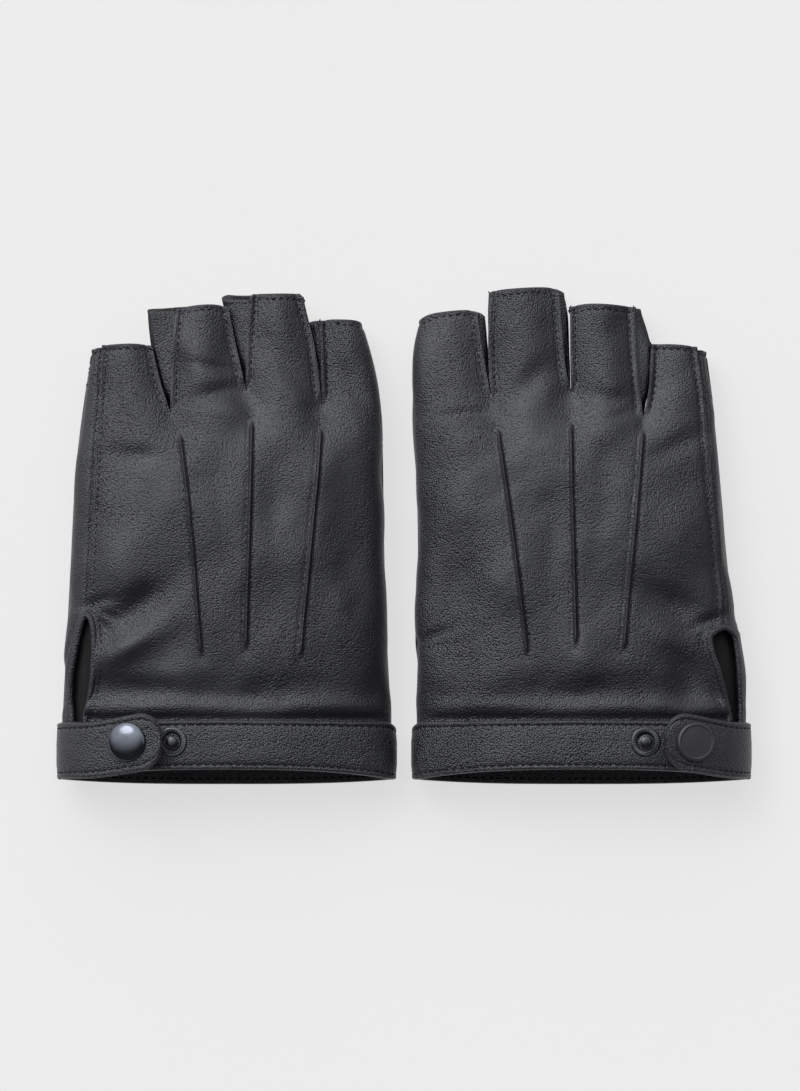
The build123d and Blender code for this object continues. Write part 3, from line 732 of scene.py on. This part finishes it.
def build_fourchette(glove, i):
    """The side walls facing one gap between two fingers, one strip folded at the crotch."""
    crotch = glove.crotches[i]
    near_tip, far_tip = float(glove.tips[i](1)), float(glove.tips[i + 1](0))
    rows = [("near", y) for y in np.linspace(near_tip - 0.2, crotch, 34)]
    rows += [("far", y) for y in np.linspace(crotch, far_tip - 0.2, 34)[1:]]
    co = []
    for key, y in rows:
        group, out = (i, 1) if key == "near" else (i + 1, -1)
        xb = float(glove.side_of_gap[i, key](y))
        xp = float(glove.side_of_gap[i, key + "_palm"](y))
        zb, zp = float(glove.back(xb, y, group)), float(glove.palm(xp, y))
        settle = float(smooth((y - crotch) / 5))
        gap = abs(float(glove.side_of_gap[i, "far"](y) - glove.side_of_gap[i, "near"](y)))
        bulge = min(0.8 + 0.35 * gap, 2.2) * settle
        co += [(x, y, z) for x, z in wall_section(xb, zb, xp, zp, out, settle, bulge)]
    faces = grid_faces(len(rows), 11, flip=True)
    names = ("forefinger_middle", "middle_ring", "ring_little")
    obj = add_mesh(f"fourchette_{i}", np.array(co), faces, glove, closed=False)
    thicken(obj, 0.8)
    glove.finish(obj, "glove", "fourchette_leather", f"fourchette_{names[i]}")


def build_lining(glove):
    """The fabric inside, as one sheet a little smaller than the leather, closed behind the vent."""
    parts = []
    for palm in (False, True):
        for group in range(4):
            left, right = glove.edges(group, True)
            if group == 3:
                right = glove.edge
            spread = unevenly(14)
            shared = np.concatenate([np.arange(BACK_HEM + 0.6, FINGERS_FROM, 2.5), [FINGERS_FROM]])
            y = rows_to_tip(shared, glove.tips[group](spread) - 0.8, 12)
            parted_left = 1.0 if group == 0 else smooth((y - glove.crotches[group - 1] + 4) / 6)
            parted_right = 1.0 if group == 3 else smooth((y - glove.crotches[group] + 4) / 6)
            a, b = left(y) + 1.3 * parted_left, right(y) - 1.3 * parted_right
            x = a + (b - a) * spread[None, :]
            z = glove.palm(x, y) + 1.3
            if not palm:
                roof = np.maximum(glove.arch(x, y) - 3.6 - VALLEY(y) * 0.6, z)
                edge = np.minimum(x - a + 30 * (1 - parted_left), b - x + 30 * (1 - parted_right))
                z = z + (roof - z) * np.clip(edge / 3.0, 0, 1) ** 0.5
            parts.append((np.stack([x.ravel(), y.ravel(), z.ravel()], 1), grid_faces(*x.shape, flip=palm)))
    co, faces = gathered(parts)
    first, faces = merged(co, np.array(faces))
    obj = add_mesh("inner_lining", co[first], faces, glove, closed=False)
    thicken(obj, 0.4)
    glove.finish(obj, "glove", "lining_fabric", "lining")


# Strips that go round the cuff: the band and the tab


def resample(points, step):
    """A plane path with evenly spaced points, and its left-hand normals."""
    run = run_length(points)
    path = between(points, run, np.linspace(0, run[-1], max(4, int(round(run[-1] / step))) + 1))
    along = directions(path)
    return path, np.stack([along[:, 1], -along[:, 0]], 1)


def band_points():
    """The band's path in x, z: over the back from the vent, round the forefinger fold, under, and up the other side."""
    half, rise = CUFF_HALF, CUFF_TOP - CUFF_WIDEST
    back = np.linspace(math.acos(43.6 / half), math.pi, 160)
    points = [(half * math.cos(a), CUFF_WIDEST + rise * math.sin(a)) for a in back]
    for centre, corner in (
        (CORNER - half, np.linspace(math.pi, 1.5 * math.pi, 24)[1:]),
        (half - CORNER, np.linspace(1.5 * math.pi, 2 * math.pi, 24)),
    ):
        points += [(centre + CORNER * math.cos(a), CUFF_WIDEST + CUFF_DROP * math.sin(a)) for a in corner]
    return np.array(points)


def strip_profile(width, thickness, margin, puff=0.22, groove=0.32):
    """Across a folded strip: (share of width, height) points round its outer face, and back along its inner face."""
    round_edge = [(0.0, 0.35), (0.12, 0.72), (0.4, 0.94), (0.85, 1.0)]
    outer = [(v, h * thickness) for v, h in round_edge]
    for v in (margin - 0.5, margin - 0.2, margin, margin + 0.25, margin + 0.7, margin + 1.5):
        dip = groove * math.exp(-(((v - margin) / 0.32) ** 2))
        outer.append((v, thickness - dip + puff * smooth((v - margin) / 3) * 0.6))
    inner_span = np.linspace(margin + 3.0, width / 2, 4)
    outer += [(float(v), thickness + puff * float(smooth((v - margin) / 3))) for v in inner_span]
    mirror = [(width - v, h) for v, h in reversed(outer[:-1])]
    loop = outer + mirror
    return [(v / width, h) for v, h in loop] + [(1.0 - 0.3 / width, 0.0), (0.5, 0.0), (0.3 / width, 0.0)]


def strip_mesh(path, out, low, high, profile, base=0.0):
    """A closed strip along a path in x, z. low and high are y at each path point."""
    co = []
    for (x, z), (nx, nz), a, b in zip(path, out, low, high):
        for share, height in profile:
            h = base + height
            co.append((x + nx * h, a + (b - a) * share, z + nz * h))
    rows, columns = len(path), len(profile)
    faces = [list(f) for f in grid_faces(rows, columns, closed=True)]
    faces.append(list(range(columns))[::-1])
    faces.append(list(range((rows - 1) * columns, rows * columns)))
    return np.array(co), faces


def band_edges(path):
    """The band's lower and upper edges in y: the back's edge curves up in the middle, the palm's stays low."""
    share = np.clip(np.abs(path[:, 0]) / 53.0, 0, 1)
    back_low = 1.2 + 3.2 * (1 - share**3.0)
    palm_low = 0.05 + 1.5 * share**3
    mix = smooth((path[:, 1] - CUFF_WIDEST + 3) / 8)
    low = palm_low + (back_low - palm_low) * mix
    return low, 17.2 + (20.3 - 17.2) * mix - 0.4 * share * mix


def build_band(glove):
    """The folded band round the wrist."""
    path, out = resample(band_points(), BAND_STEP)
    low, high = band_edges(path)
    profile = strip_profile(BAND_WIDTH, BAND, HEM)
    co, faces = strip_mesh(path, out, low, high, profile)
    co = add_wave(co, glove.spec["seed"] + 21, 0.12)
    obj = add_mesh("wrist_band", co, faces, glove)
    glove.finish(obj, "glove", "band_leather", "cuff_band")


def add_wave(co, seed, height):
    """Lets a strip undulate a little, away from the table."""
    lift = waves(co[:, 0], co[:, 1], seed, 14, 30) * height
    co = co.copy()
    co[:, 2] += np.where(co[:, 2] > CUFF_WIDEST, lift, 0)
    return co


def tab_path(glove, reach=0.0):
    """The tab's arch from its tip to the side of the cuff, with its edges in y. reach moves every edge inwards."""
    low_box, high_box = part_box(f"{glove.name}_cuff_tab")
    inner = low_box.x if glove.side > 0 else high_box.x
    tip_x = (inner - glove.origin[0]) / MM * glove.side + reach
    half, rise = CUFF_HALF, CUFF_TOP + TAB_RISE - CUFF_WIDEST
    angles = np.linspace(math.acos(tip_x / half), -0.32, 260)
    x, z = half * np.cos(angles), CUFF_WIDEST + rise * np.sin(angles)
    below = angles < 0
    z[below] = CUFF_WIDEST + CUFF_DROP * np.sin(angles[below])
    dense = np.stack([x, z], 1)
    run = run_length(dense)
    ease = np.linspace(0, 1, 16)
    corner = 7.6 - reach
    curved = corner * (1 - np.cos(ease * math.pi / 2)) + 0.02
    at = np.concatenate([curved, np.arange(corner + 0.9, run[-1], 0.9), [run[-1]]])
    path = between(dense, run, at)
    along = directions(path)
    out = np.stack([-along[:, 1], along[:, 0]], 1)
    lean = smooth(at / 26)
    low, high = 4.4 + (1.9 - 4.4) * lean + reach, 22.7 + (19.4 - 22.7) * lean - reach
    cut = corner - np.sqrt(np.maximum(corner**2 - np.maximum(corner - at, 0) ** 2, 0))
    return path, out, low + cut, high - cut


def build_tab(glove):
    """The tab, its outer leather over its facing."""
    pieces = []
    for name, base, thick, node, reach in (
        ("strap", BAND / 2, 0.85, "cuff_tab", 0.0),
        ("strap_facing", 0.0, 0.78, "tab_facing", -0.3),
    ):
        path, out, low, high = tab_path(glove, reach)
        groove = 0.26 if name == "strap" else 0.0
        profile = strip_profile(TAB_WIDTH, thick, 1.7, 0.1, groove)
        co, faces = strip_mesh(path, out, low, high, profile, base)
        obj = add_mesh(name, co, faces, glove)
        glove.finish(obj, None, "band_leather", node)
        pieces.append(obj)
    return pieces


def bend_tab(obj):
    """Bakes a piece's placement into its mesh."""
    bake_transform(obj)


# Stitches, piping


def stitch_mesh(points, ups, pitch=2.3, length=1.7, radius=0.3, sink=0.08):
    """Stitches along a path: each a short, flattened thread that dips into the leather at its ends."""
    points, ups = np.array(points, float), np.array(ups, float)
    run = run_length(points)
    count = int(run[-1] / pitch)
    co, faces = [], []
    ring = [(math.cos(a), math.sin(a)) for a in np.linspace(0, 2 * math.pi, 6, endpoint=False)]
    half = [(0.5, 0.25, -1.1), (0.36, 0.8, -0.25), (0.12, 1.0, 0.12)]
    shares = [(-along, size, lift) for along, size, lift in half] + half[::-1]
    if count < 1:
        return np.zeros((0, 3)), []
    first = (run[-1] - count * pitch) / 2 + pitch / 2
    for n in range(count):
        middle = first + n * pitch
        base = len(co)
        for along, size, lift in shares:
            at = middle + along * length
            p, q = between(points, run, at), between(points, run, at + 0.1)
            up = between(ups, run, at)
            up /= np.linalg.norm(up)
            forward = q - p
            if np.linalg.norm(forward) < 1e-9:
                forward = points[-1] - points[-2]
            across = np.cross(up, forward / np.linalg.norm(forward))
            centre = p + up * (lift * radius - sink)
            for c, s in ring:
                co.append(centre + (across * c * 0.9 + up * s) * radius * size)
        for r in range(len(shares) - 1):
            for c in range(6):
                a, b = base + r * 6 + c, base + r * 6 + (c + 1) % 6
                faces.append([a, b, b + 6, a + 6])
        faces.append([base + c for c in range(6)][::-1])
        faces.append([base + (len(shares) - 1) * 6 + c for c in range(6)])
    return np.array(co), faces


def add_stitches(name, rows, glove, ends=(), **how):
    """One object with several rows of stitches, each given as (points, ups), and loose thread ends given as points."""
    parts = [stitch_mesh(points, ups, **how) for points, ups in rows]
    parts += [tube(points, np.linspace(0.3, 0.16, len(points)), 6) for points in ends]
    return add_mesh(name, *gathered(parts), glove)


class Surface:
    """Finds the top surface of a finished piece, in the glove's own frame."""

    def __init__(self, glove, obj):
        self.glove = glove
        faces = [tuple(p.vertices) for p in obj.data.polygons]
        self.tree = BVHTree.FromPolygons([v.co.copy() for v in obj.data.vertices], faces)

    def at(self, x, y):
        """The point and normal where a vertical line meets the top of the piece."""
        g = self.glove
        spot = g.origin + np.array([x * g.side, y, 0]) * MM
        hit, normal, _, _ = self.tree.ray_cast(Vector((spot[0], spot[1], 0.08)), Vector((0, 0, -1)))
        if hit is None:
            return None
        local = (np.array(hit) - g.origin) / MM
        local[0] *= g.side
        up = g.direction(np.array(normal))
        return local, -up if up[2] < 0 else up

    def row(self, xs, ys):
        """A row of surface points and normals along a plan path."""
        found = [f for f in map(self.at, xs, ys) if f is not None]
        return [f[0] for f in found], [f[1] for f in found]


def tube(points, radii, sides=10):
    """A round tube along points."""
    points = np.array(points, float)
    co = []
    for p, d, r in zip(points, directions(points), radii):
        across = np.cross(d, (0.0, 0.0, 1.0))
        across /= max(np.linalg.norm(across), 1e-9)
        top = np.cross(across, d)
        for a in np.linspace(0, 2 * math.pi, sides, endpoint=False):
            co.append(p + (across * math.cos(a) + top * math.sin(a)) * r)
    faces = [list(f) for f in grid_faces(len(points), sides, closed=True)]
    faces.append(list(range(sides)))
    faces.append(list(range((len(points) - 1) * sides, len(points) * sides))[::-1])
    return np.array(co), faces


def build_vent(glove):
    """The turned edge round the vent: a rolled binding along the opening."""
    top = glove.vent_top
    ys = np.concatenate([np.arange(18.0, top - 1.0, 0.8), [top - 0.6, top - 0.25, top - 0.05]])
    left = [(float(glove.vent_back(y)), y) for y in ys]
    right = [(float(glove.vent_palm(y)), y) for y in ys]
    outline = left + [(float(glove.seam(top)), top + 0.1)] + right[::-1]
    points = np.array([(x, y, float(glove.back(x, y, 3)) - 0.25) for x, y in outline])
    for _ in range(3):
        points[1:-1] = (points[:-2] + 2 * points[1:-1] + points[2:]) / 4
    co, faces = tube(points, np.full(len(points), 1.0), 12)
    obj = add_mesh("vent_roll", co, faces, glove)
    glove.finish(obj, "glove", "band_leather", "vent_binding")


def build_hand_stitches(glove, surface):
    """Fingertip hems, side-wall seams, points and the side seam."""
    hems, ends = [], []
    random = np.random.default_rng(glove.spec["seed"])
    for group in range(5):
        left, right = glove.edges(group, False)
        s = np.linspace(0.02, 0.98, 30)
        ys = glove.tips[group](s) - HEM
        xs = left(ys) + (right(ys) - left(ys)) * s
        hems.append(surface.row(xs, ys))
    for i in range(3):
        for group, key, turn in ((i, "near", -1.75), (i + 1, "far", 1.75)):
            tip = float(glove.tips[group](1.0 if key == "near" else 0.0)) - 1.8
            ys = np.arange(glove.crotches[i] + 1.6, tip, 0.6)
            hems.append(surface.row(glove.side_of_gap[i, key](ys) + turn, ys))
            y = tip + 1.6
            x = float(glove.side_of_gap[i, key](y))
            z = float(glove.back(x, y, group))
            for _ in range(2):
                lean, reach = random.uniform(-0.9, 0.9), random.uniform(0.7, 1.9)
                ends.append([(x + lean * t * t, y - 0.5 + reach * t, z - 0.5 + 0.3 * t) for t in (0, 0.4, 0.7, 1)])
    obj = add_stitches("finger_stitches", hems, glove, ends)
    glove.finish(obj, "glove", "thread", "finger_thread")
    points = []
    for i, (low, high) in enumerate(glove.spec["points"]):
        ys = np.arange(low + 0.5, high - 0.3, 0.6)
        points.append(surface.row(glove.lines[i](ys) + 1.15, ys))
    obj = add_stitches("point_stitches", points, glove, radius=0.14, sink=0.05)
    glove.finish(obj, "glove", "thread", "point_thread")
    ys = np.arange(glove.vent_top + 2, float(glove.tips[3](1.0)) - 1, 0.6)
    seam = [surface.row(glove.seam(ys) - 2.1, ys)]
    low = np.arange(22.0, glove.vent_top - 3, 0.6)
    seam.append(surface.row(glove.vent_back(low) - 2.3, low))
    obj = add_stitches("seam_stitches", seam, glove, radius=0.22)
    glove.finish(obj, "glove", "thread", "side_seam_thread")


def build_cuff_stitches(glove):
    """The band's two rows and the tab's row."""

    def off_path(path, out, y, h):
        return np.stack([path[:, 0] + out[:, 0] * h, y, path[:, 1] + out[:, 1] * h], 1)

    path, out = resample(band_points(), BAND_STEP)
    low, high = band_edges(path)
    ups = off_path(out, out, 0 * low, 0)
    rows = []
    for share in (HEM / BAND_WIDTH, 1 - HEM / BAND_WIDTH):
        y = low + (high - low) * share
        points = add_wave(off_path(path, out, y, BAND - 0.22), glove.spec["seed"] + 21, 0.12)
        rows.append((points[2:-2], ups[2:-2]))
        if share < 0.5:
            under = path[:, 1] < 3.0
            rows.append((off_path(path, out, y, -0.1)[under], -ups[under]))
    obj = add_stitches("band_stitches", rows, glove, pitch=2.5, length=1.8)
    glove.finish(obj, "glove", "thread", "cuff_thread")
    path, out, low, high = tab_path(glove, 1.7)
    upper, lower = (off_path(path, out, y, BAND / 2 + 0.85 - 0.2) for y in (high, low))
    ups = off_path(out, out, 0 * low, 0)
    loop = np.concatenate([upper[::-1], lower])
    loop_ups = np.concatenate([ups[::-1], ups])
    keep = loop[:, 2] > CUFF_WIDEST - 1
    obj = add_stitches("strap_stitches", [(loop[keep], loop_ups[keep])], glove)
    glove.finish(obj, None, "thread", "tab_thread")
    return obj


# Snap fasteners


def node_axis(node):
    """A round CAD node's centre line: (a point on it, its direction, lowest and highest along it), in metres."""
    co = np.array([v.co for v in frame["nodes"][node].data.vertices], float)
    centre = (co.min(0) + co.max(0)) / 2
    _, vectors = np.linalg.eigh(np.cov((co - co.mean(0)).T))
    vectors = vectors * np.where(vectors[2] > 0, 1, -1)
    axis = vectors[:, np.argmax(vectors[2])]
    along = (co - centre) @ axis
    across = co - np.outer(along, axis)
    return (across.min(0) + across.max(0)) / 2, axis, along.min(), along.max()


def lathe(profile, sides=72, ripple=None):
    """Turns (radius, height) points about Z. ripple gives each point's extra height at each angle."""
    angles = np.linspace(0, 2 * math.pi, sides, endpoint=False)
    co = []
    for k, (r, h) in enumerate(profile):
        co += [(r * math.cos(a), r * math.sin(a), h + (ripple(k, a) if ripple else 0.0)) for a in angles]
    faces = [list(f) for f in grid_faces(len(profile), sides, closed=True)]
    if profile[0][0] > 0.01:
        faces.append(list(range(sides)))
    if profile[-1][0] > 0.01:
        faces.append(list(range((len(profile) - 1) * sides, len(profile) * sides))[::-1])
    return np.array(co), faces


def stand(name, profile, where, axis, ripple=None, sides=72):
    """A turned piece, standing at a place along an axis in the row frame."""
    co, faces = lathe(profile, sides, ripple)
    axis = np.array(axis) / np.linalg.norm(axis)
    first = np.cross((0, 1, 0), axis)
    first /= np.linalg.norm(first)
    second = np.cross(axis, first)
    world = np.array(where) + (np.outer(co[:, 0], first) + np.outer(co[:, 1], second) + np.outer(co[:, 2], axis)) * MM
    return add_mesh(name, world, faces)


def build_snaps(glove):
    """The cap on the tab, and the spare stud with its ribbed ring."""
    name = glove.name
    middle, axis, _, high = node_axis(f"{name}_snap_cap")
    if glove.spec["cap"] == "domed":
        profile = [(0.0, -2.3), (5.6, -2.3), (6.1, -2.15), (6.25, -1.85), (6.2, -1.55), (5.95, -1.25)]
        profile += [(6.25 * math.sin(a), -1.9 + 1.9 * math.cos(a)) for a in np.linspace(1.16, 0.02, 18)[1:]]
    else:
        profile = [(0.0, -2.2), (5.8, -2.2), (6.2, -2.0), (6.25, -1.6), (6.15, -1.1), (5.95, -0.75), (5.7, -0.55)]
        profile += [(5.45, -0.48), (5.3, -0.52), (5.15, -0.6), (4.9, -0.6), (3.5, -0.54), (1.8, -0.5), (0.01, -0.48)]
    obj = stand(f"{name}_cap", profile, middle + axis * high, axis, sides=96)
    glove.finish(obj, "tab", f"cap_{name}", "snap_cap")
    profile = [(0.0, 0.0), (4.75, 0.0), (4.8, 0.18), (4.72, 0.42), (4.5, 0.56), (4.25, 0.6), (4.05, 0.58), (3.75, 0.6)]
    profile += [(3.3, 0.6), (3.0, 0.5), (2.8, 0.28), (2.55, 0.16), (2.2, 0.2), (1.8, 0.3), (1.5, 0.5), (1.42, 0.8)]
    profile += [(1.5, 1.05), (1.75, 1.2), (1.9, 1.45), (1.92, 1.75)]
    profile += [(1.8, 2.05), (1.5, 2.28), (1.0, 2.42), (0.01, 2.46)]
    ribs = {6: 0.4, 7: 1.0, 8: 1.0, 9: 0.4}

    def ribbed(k, a):
        return ribs.get(k, 0) * 0.13 * math.cos(STUD_RIBS * a)

    for which in ("spare", "closing"):
        middle, axis, low, _ = node_axis(f"{name}_{which}_stud")
        obj = stand(f"{name}_stud_{which}", profile, middle + axis * low, axis, ribbed, 240)
        glove.finish(obj, "glove", "stud_metal", f"{which}_stud")


# Thumb


def build_thumb(glove):
    """The thumb stall tucked under the palm, its lining, and the collar that joins it to the palm."""

    def turned(x, y):
        c, s = math.cos(THUMB_TURN), math.sin(THUMB_TURN)
        return THUMB_ROOT[0] + x * c - y * s, THUMB_ROOT[1] + x * s + y * c

    stations = [(-12.6, 0.5), (-12.2, 4.4), (-11.2, 7.4), (-9.4, 10.2), (-7, 12.2), (-4, 13.7), (0, 14.4), (6, 14.4)]
    stations += [(12, 14.1), (18, 13.8), (24, 13.5), (30, 13.2), (32.0, 13.1), (32.5, 13.1), (33.0, 13.1), (34.0, 13.1)]
    middle = THUMB_HEIGHT / 2

    def tubular(inset, last):
        co = []
        for y, half in stations:
            y = min(y, last)
            for a in np.linspace(0, 2 * math.pi, 48, endpoint=False):
                c, s = math.cos(a), math.sin(a)
                px = (half - inset) * math.copysign(abs(c) ** 0.72, c)
                pz = middle + (middle - inset) * math.copysign(abs(s) ** 0.6, s)
                if y < -9:
                    pz = middle + (pz - middle) * min(1.0, 0.55 + 0.45 * (y + 12.6) / 3.6)
                dip = 0.3 * math.exp(-(((y - THUMB_HEM) / 0.5) ** 2))
                pz += -dip * math.copysign(1, s) * (abs(s) > 0.3)
                wave = 0.25 * math.sin(px * 0.35 + y * 0.22) if s > 0 else 0.0
                co.append((px, y, max(pz + wave, 0.02)))
        co = np.array(co)
        faces = [list(f) for f in grid_faces(len(stations), 48, closed=True)]
        faces.append(list(range(48)))
        return np.stack([*turned(co[:, 0], co[:, 1]), co[:, 2]], 1), faces

    obj = add_mesh("thumb_stall", *tubular(0.0, 99), glove)
    thicken(obj, LEATHER)
    glove.finish(obj, "thumb", "trank_leather", "thumb")
    obj = add_mesh("thumb_inner", *tubular(1.2, 33.2), glove)
    thicken(obj, 0.4)
    glove.finish(obj, "thumb", "lining_fabric", "thumb_lining")
    profile = [(12.6, 6.0), (12.0, 6.7), (11.3, 7.3), (11.0, 7.9), (10.9, 8.6), (10.9, 9.3)]
    co, faces = lathe(profile, 64)
    co[:, :2] += THUMB_ROOT
    obj = add_mesh("thumb_collar", co, faces[: (len(profile) - 1) * 64], glove)
    thicken(obj, LEATHER)
    glove.finish(obj, "thumb", "trank_leather")
    s = np.linspace(-0.9, 0.9, 40)
    x, y = turned(s * 12.6, np.full(40, THUMB_HEM))
    z = THUMB_HEIGHT - 0.25 - 0.9 * np.abs(s) ** 5 * 3
    top, under = np.stack([x, y, z], 1), np.stack([x, y, THUMB_HEIGHT - z], 1)
    rows = [(top, np.tile([0, 0, 1.0], (40, 1))), (under, np.tile([0, 0, -1.0], (40, 1)))]
    obj = add_stitches("thumb_stitches", rows, glove)
    glove.finish(obj, "thumb", "thread", "thumb_thread")


# Stage


def soft_light(name, toward, strength, spread):
    """A broad, far light shining from a direction."""
    data = bpy.data.lights.new(name, "SUN")
    data.energy, data.angle = strength, math.radians(spread)
    obj = bpy.data.objects.new(name, data)
    bpy.context.scene.collection.objects.link(obj)
    obj.rotation_mode = "QUATERNION"
    obj.rotation_quaternion = (-Vector(toward)).to_track_quat("-Z", "Y")


def build_stage():
    """A pale floor, soft light and the camera."""
    n = Nodes("pale_floor")
    tone = n.ramp(n.noise(3.0, 2.0), [(0.3, 0.148), (0.7, 0.152)])
    n.shade(Base_Color=tone, Roughness=0.9, Emission_Color=(0.655, 0.655, 0.655, 1), Emission_Strength=1.0)
    n.bsdf.inputs["Specular IOR Level"].default_value = 0.1
    corners = [(x, y, -0.0004) for x, y in ((-3, -3), (3, -3), (3, 3), (-3, 3))]
    floor = add_mesh("floor", corners, [[0, 1, 2, 3]])
    floor.data.materials.append(n.material)
    bpy.context.scene.view_settings.view_transform = "Standard"
    world = bpy.data.worlds.new("studio")
    bpy.context.scene.world = world
    world.use_nodes = True
    tree = world.node_tree
    sky = tree.nodes["Background"].inputs
    where = tree.nodes.new("ShaderNodeTexCoord").outputs["Generated"]
    toward = tree.nodes.new("ShaderNodeVectorMath")
    toward.operation = "DOT_PRODUCT"
    toward.inputs[1].default_value = Vector((-0.36, 0.74, 0.62)).normalized()
    tree.links.new(where, toward.inputs[0])
    glow = tree.nodes.new("ShaderNodeMapRange")
    glow.interpolation_type = "SMOOTHSTEP"
    for key, value in (("From Min", 0.34), ("From Max", 1.0), ("To Min", 0.09), ("To Max", 2.5)):
        glow.inputs[key].default_value = value
    tree.links.new(toward.outputs["Value"], glow.inputs["Value"])
    sky["Color"].default_value = (1, 1, 1, 1)
    tree.links.new(glow.outputs["Result"], sky["Strength"])
    soft_light("key", (-0.6, 0.75, 1.1), 1.2, 30)
    soft_light("fill", (0.8, 0.25, 0.9), 0.2, 35)
    data = bpy.data.cameras.new("camera")
    camera = bpy.data.objects.new("camera", data)
    bpy.context.scene.collection.objects.link(camera)
    bpy.context.scene.camera = camera
    target = Vector(((cad_low.x + cad_high.x) / 2 - 0.0013, (cad_low.y + cad_high.y) / 2 - 0.0030, 0.01))
    distance, elevation = 3.0, math.radians(88.0)
    back = Vector((0, -math.cos(elevation), math.sin(elevation)))
    camera.location = target + back * distance
    camera.rotation_mode = "QUATERNION"
    camera.rotation_quaternion = (-back).to_track_quat("-Z", "Y")
    data.sensor_fit = "AUTO"
    data.sensor_width = 36.0
    data.lens = 36.0 * distance / 0.3491
    data.clip_start, data.clip_end = 0.05, 20


for glove_name in ("left", "right"):
    glove = Glove(glove_name)
    trank = build_trank(glove)
    surface = Surface(glove, trank)
    for gap in range(3):
        build_fourchette(glove, gap)
    build_lining(glove)
    build_band(glove)
    straps = build_tab(glove)
    build_vent(glove)
    build_hand_stitches(glove, surface)
    straps.append(build_cuff_stitches(glove))
    for strap in straps:
        bend_tab(strap)
    build_snaps(glove)
    build_thumb(glove)

for node_name, node in frame["nodes"].items():
    if node.hide_render:
        continue
    slot_name = next(s["material_slot"] for s in frame["record"]["subparts"] if s["node"] == node_name)
    node.data.materials.clear()
    node.data.materials.append(MATERIALS[slot_name])

build_stage()
